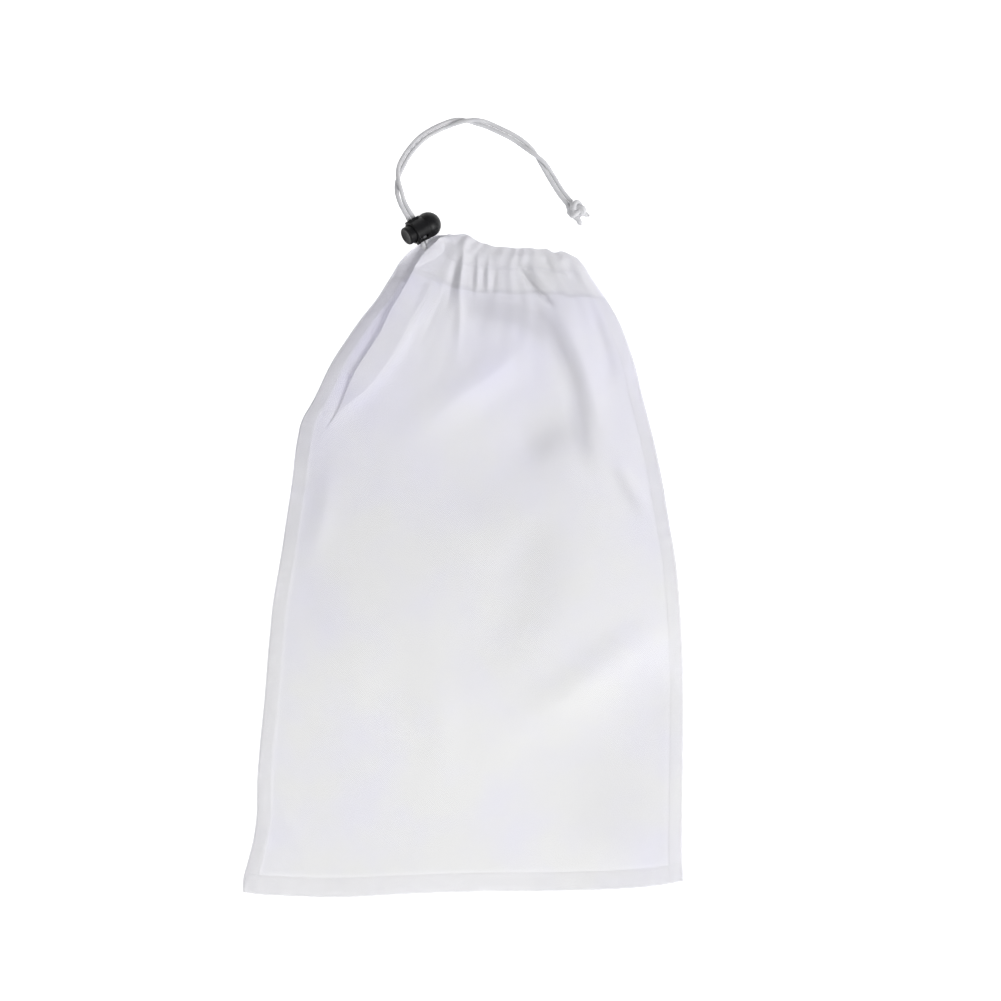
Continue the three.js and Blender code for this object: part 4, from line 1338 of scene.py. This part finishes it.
def lock_body():
    """The domed barrel with its collar, its stepped bore, its cord hole and the slit in the collar."""
    start = math.acos(DOME_STEP / DOME_RADIUS)
    shell = [(BARREL_END, 0), (BARREL_END, BARREL_RADIUS - RIM_ROUND),
             (BARREL_END + RIM_ROUND, BARREL_RADIUS), (DOME_STEP, BARREL_RADIUS)]
    for turn in start * np.linspace(1, 0, 25):
        shell.append((DOME_RADIUS * math.cos(turn), DOME_RADIUS * math.sin(turn)))
    body = solid_of("lock_body", turned_form(shell), "plastic")
    tall = HOLE_HEIGHT + 2 * COLLAR_WALL
    collar = bar_form(HOLE_SPAN[0] - COLLAR_WALL, HOLE_SPAN[1] + COLLAR_WALL, tall, tall * 0.4,
                      COLLAR_REACH)
    carve(body, [solid_of("collar", collar, "plastic")], "UNION")
    bore = turned_form([(BARREL_END - 2 * MM, 0), (BARREL_END - 2 * MM, BORE_RADIUS),
                        (BORE_END, BORE_RADIUS), (BORE_END, POCKET_RADIUS),
                        (POCKET_END, POCKET_RADIUS), (POCKET_END, 0)])
    slit = bar_form(HOLE_SPAN[0] + 0.6 * MM, HOLE_SPAN[1] - 0.6 * MM, DOME_RADIUS, 0.4 * MM,
                    (WINDOW_SPAN[1] - WINDOW_SPAN[0]) / 2)
    slit[0][:, 1] += (WINDOW_SPAN[0] + WINDOW_SPAN[1]) / 2
    slit[0][:, 2] += DOME_RADIUS / 2
    tools = (("bore", bore), ("hole", cord_hole_form(HOLE_SPAN, 0.02)), ("window", slit))
    carve(body, [solid_of(name, form, "plastic") for name, form in tools], "DIFFERENCE")
    moulded(body, VOXEL, 5)
    stands_for(body, "cord_lock", "lock_plastic", "cord_lock_body")


def lock_plunger():
    """The button, dished at its face, on a stem with a slot for the two strands."""
    face = [(0.8, 0), (0.75, 0.2), (0.5, 0.5), (0, 0.8), (0.25, 0.94), (0.9, 1)]
    profile = [(PLUNGER_FACE + depth * MM, PLUNGER_RADIUS * share) for depth, share in face]
    profile += [(PLUNGER_END, PLUNGER_RADIUS), (PLUNGER_END, 0)]
    stem = solid_of("lock_plunger", turned_form(profile), "plastic")
    carve(stem, [solid_of("slot", cord_hole_form(PLUNGER_SLOT, 0.01), "plastic")], "DIFFERENCE")
    moulded(stem, VOXEL, 4)
    stands_for(stem, "plunger", "lock_plastic", "cord_lock_plunger")


def lock_spring():
    """The steel coil behind the plunger, which flattens as the button is pressed."""
    angle = np.linspace(0, 2 * math.pi * SPRING_TURNS, SPRING_TURNS * 48 + 1)
    coil = np.stack([np.linspace(*SPRING_SPAN, len(angle)), SPRING_RADIUS * np.cos(angle),
                     SPRING_RADIUS * np.sin(angle)], axis=1)
    path = in_lock_frame(coil)
    _, side, up = path_frames(path)
    around = 12
    turn = np.linspace(0, 2 * math.pi, around, endpoint=False)[None, :, None]
    ring = path[:, None] + SPRING_WIRE / 2 * (np.cos(turn) * side[:, None] + np.sin(turn) * up[:, None])
    faces = grid_faces(len(path), around, wrap=True)
    last = (len(path) - 1) * around
    faces += [list(range(around)), list(range(last, last + around))[::-1]]
    spring = solid_of("lock_spring", (ring.reshape(-1, 3), faces), "spring")
    stands_for(spring, "cord_lock", "spring_steel", "cord_lock_spring")
    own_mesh(spring)


class MESH_OT_bag_lock(bpy.types.Operator):
    """Mould the cord lock's body and plunger and coil its spring"""
    bl_idname = "bag.lock"
    bl_label = "Cord lock"

    def execute(self, context):
        lock_body()
        lock_plunger()
        lock_spring()
        return {"FINISHED"}


# ---- Panel and run ----------------------------------------------------------------------------
STEPS = ("stage", "tails", "panels", "seams", "stitches", "drawcord", "lock")


class VIEW3D_PT_bag(bpy.types.Panel):
    bl_label = "Mesh produce bag"
    bl_idname = "VIEW3D_PT_bag"
    bl_space_type = "VIEW_3D"
    bl_region_type = "UI"
    bl_category = "Bag"

    def draw(self, context):
        for step in STEPS:
            self.layout.operator("bag." + step)
        for settings in (cloth_settings(), cord_settings(), lock_settings()):
            box = self.layout.box()
            for name in settings.__annotations__:
                box.prop(settings, name)


CLASSES = (BagCloth, BagCord, BagLock, MESH_OT_bag_stage, MESH_OT_bag_tails, MESH_OT_bag_panels,
           MESH_OT_bag_seams, MESH_OT_bag_stitches, MESH_OT_bag_drawcord, MESH_OT_bag_lock, VIEW3D_PT_bag)


def register():
    for cls in CLASSES:
        bpy.utils.register_class(cls)
    bpy.types.Scene.bag_cloth = bpy.props.PointerProperty(type=BagCloth)
    bpy.types.Scene.bag_cord = bpy.props.PointerProperty(type=BagCord)
    bpy.types.Scene.bag_lock = bpy.props.PointerProperty(type=BagLock)


def unregister():
    for name in ("bag_lock", "bag_cord", "bag_cloth"):
        delattr(bpy.types.Scene, name)
    for cls in reversed(CLASSES):
        bpy.utils.unregister_class(cls)


def main():
    register()
    for step in STEPS:
        getattr(bpy.ops.bag, step)()


if __name__ == "__main__":
    main()
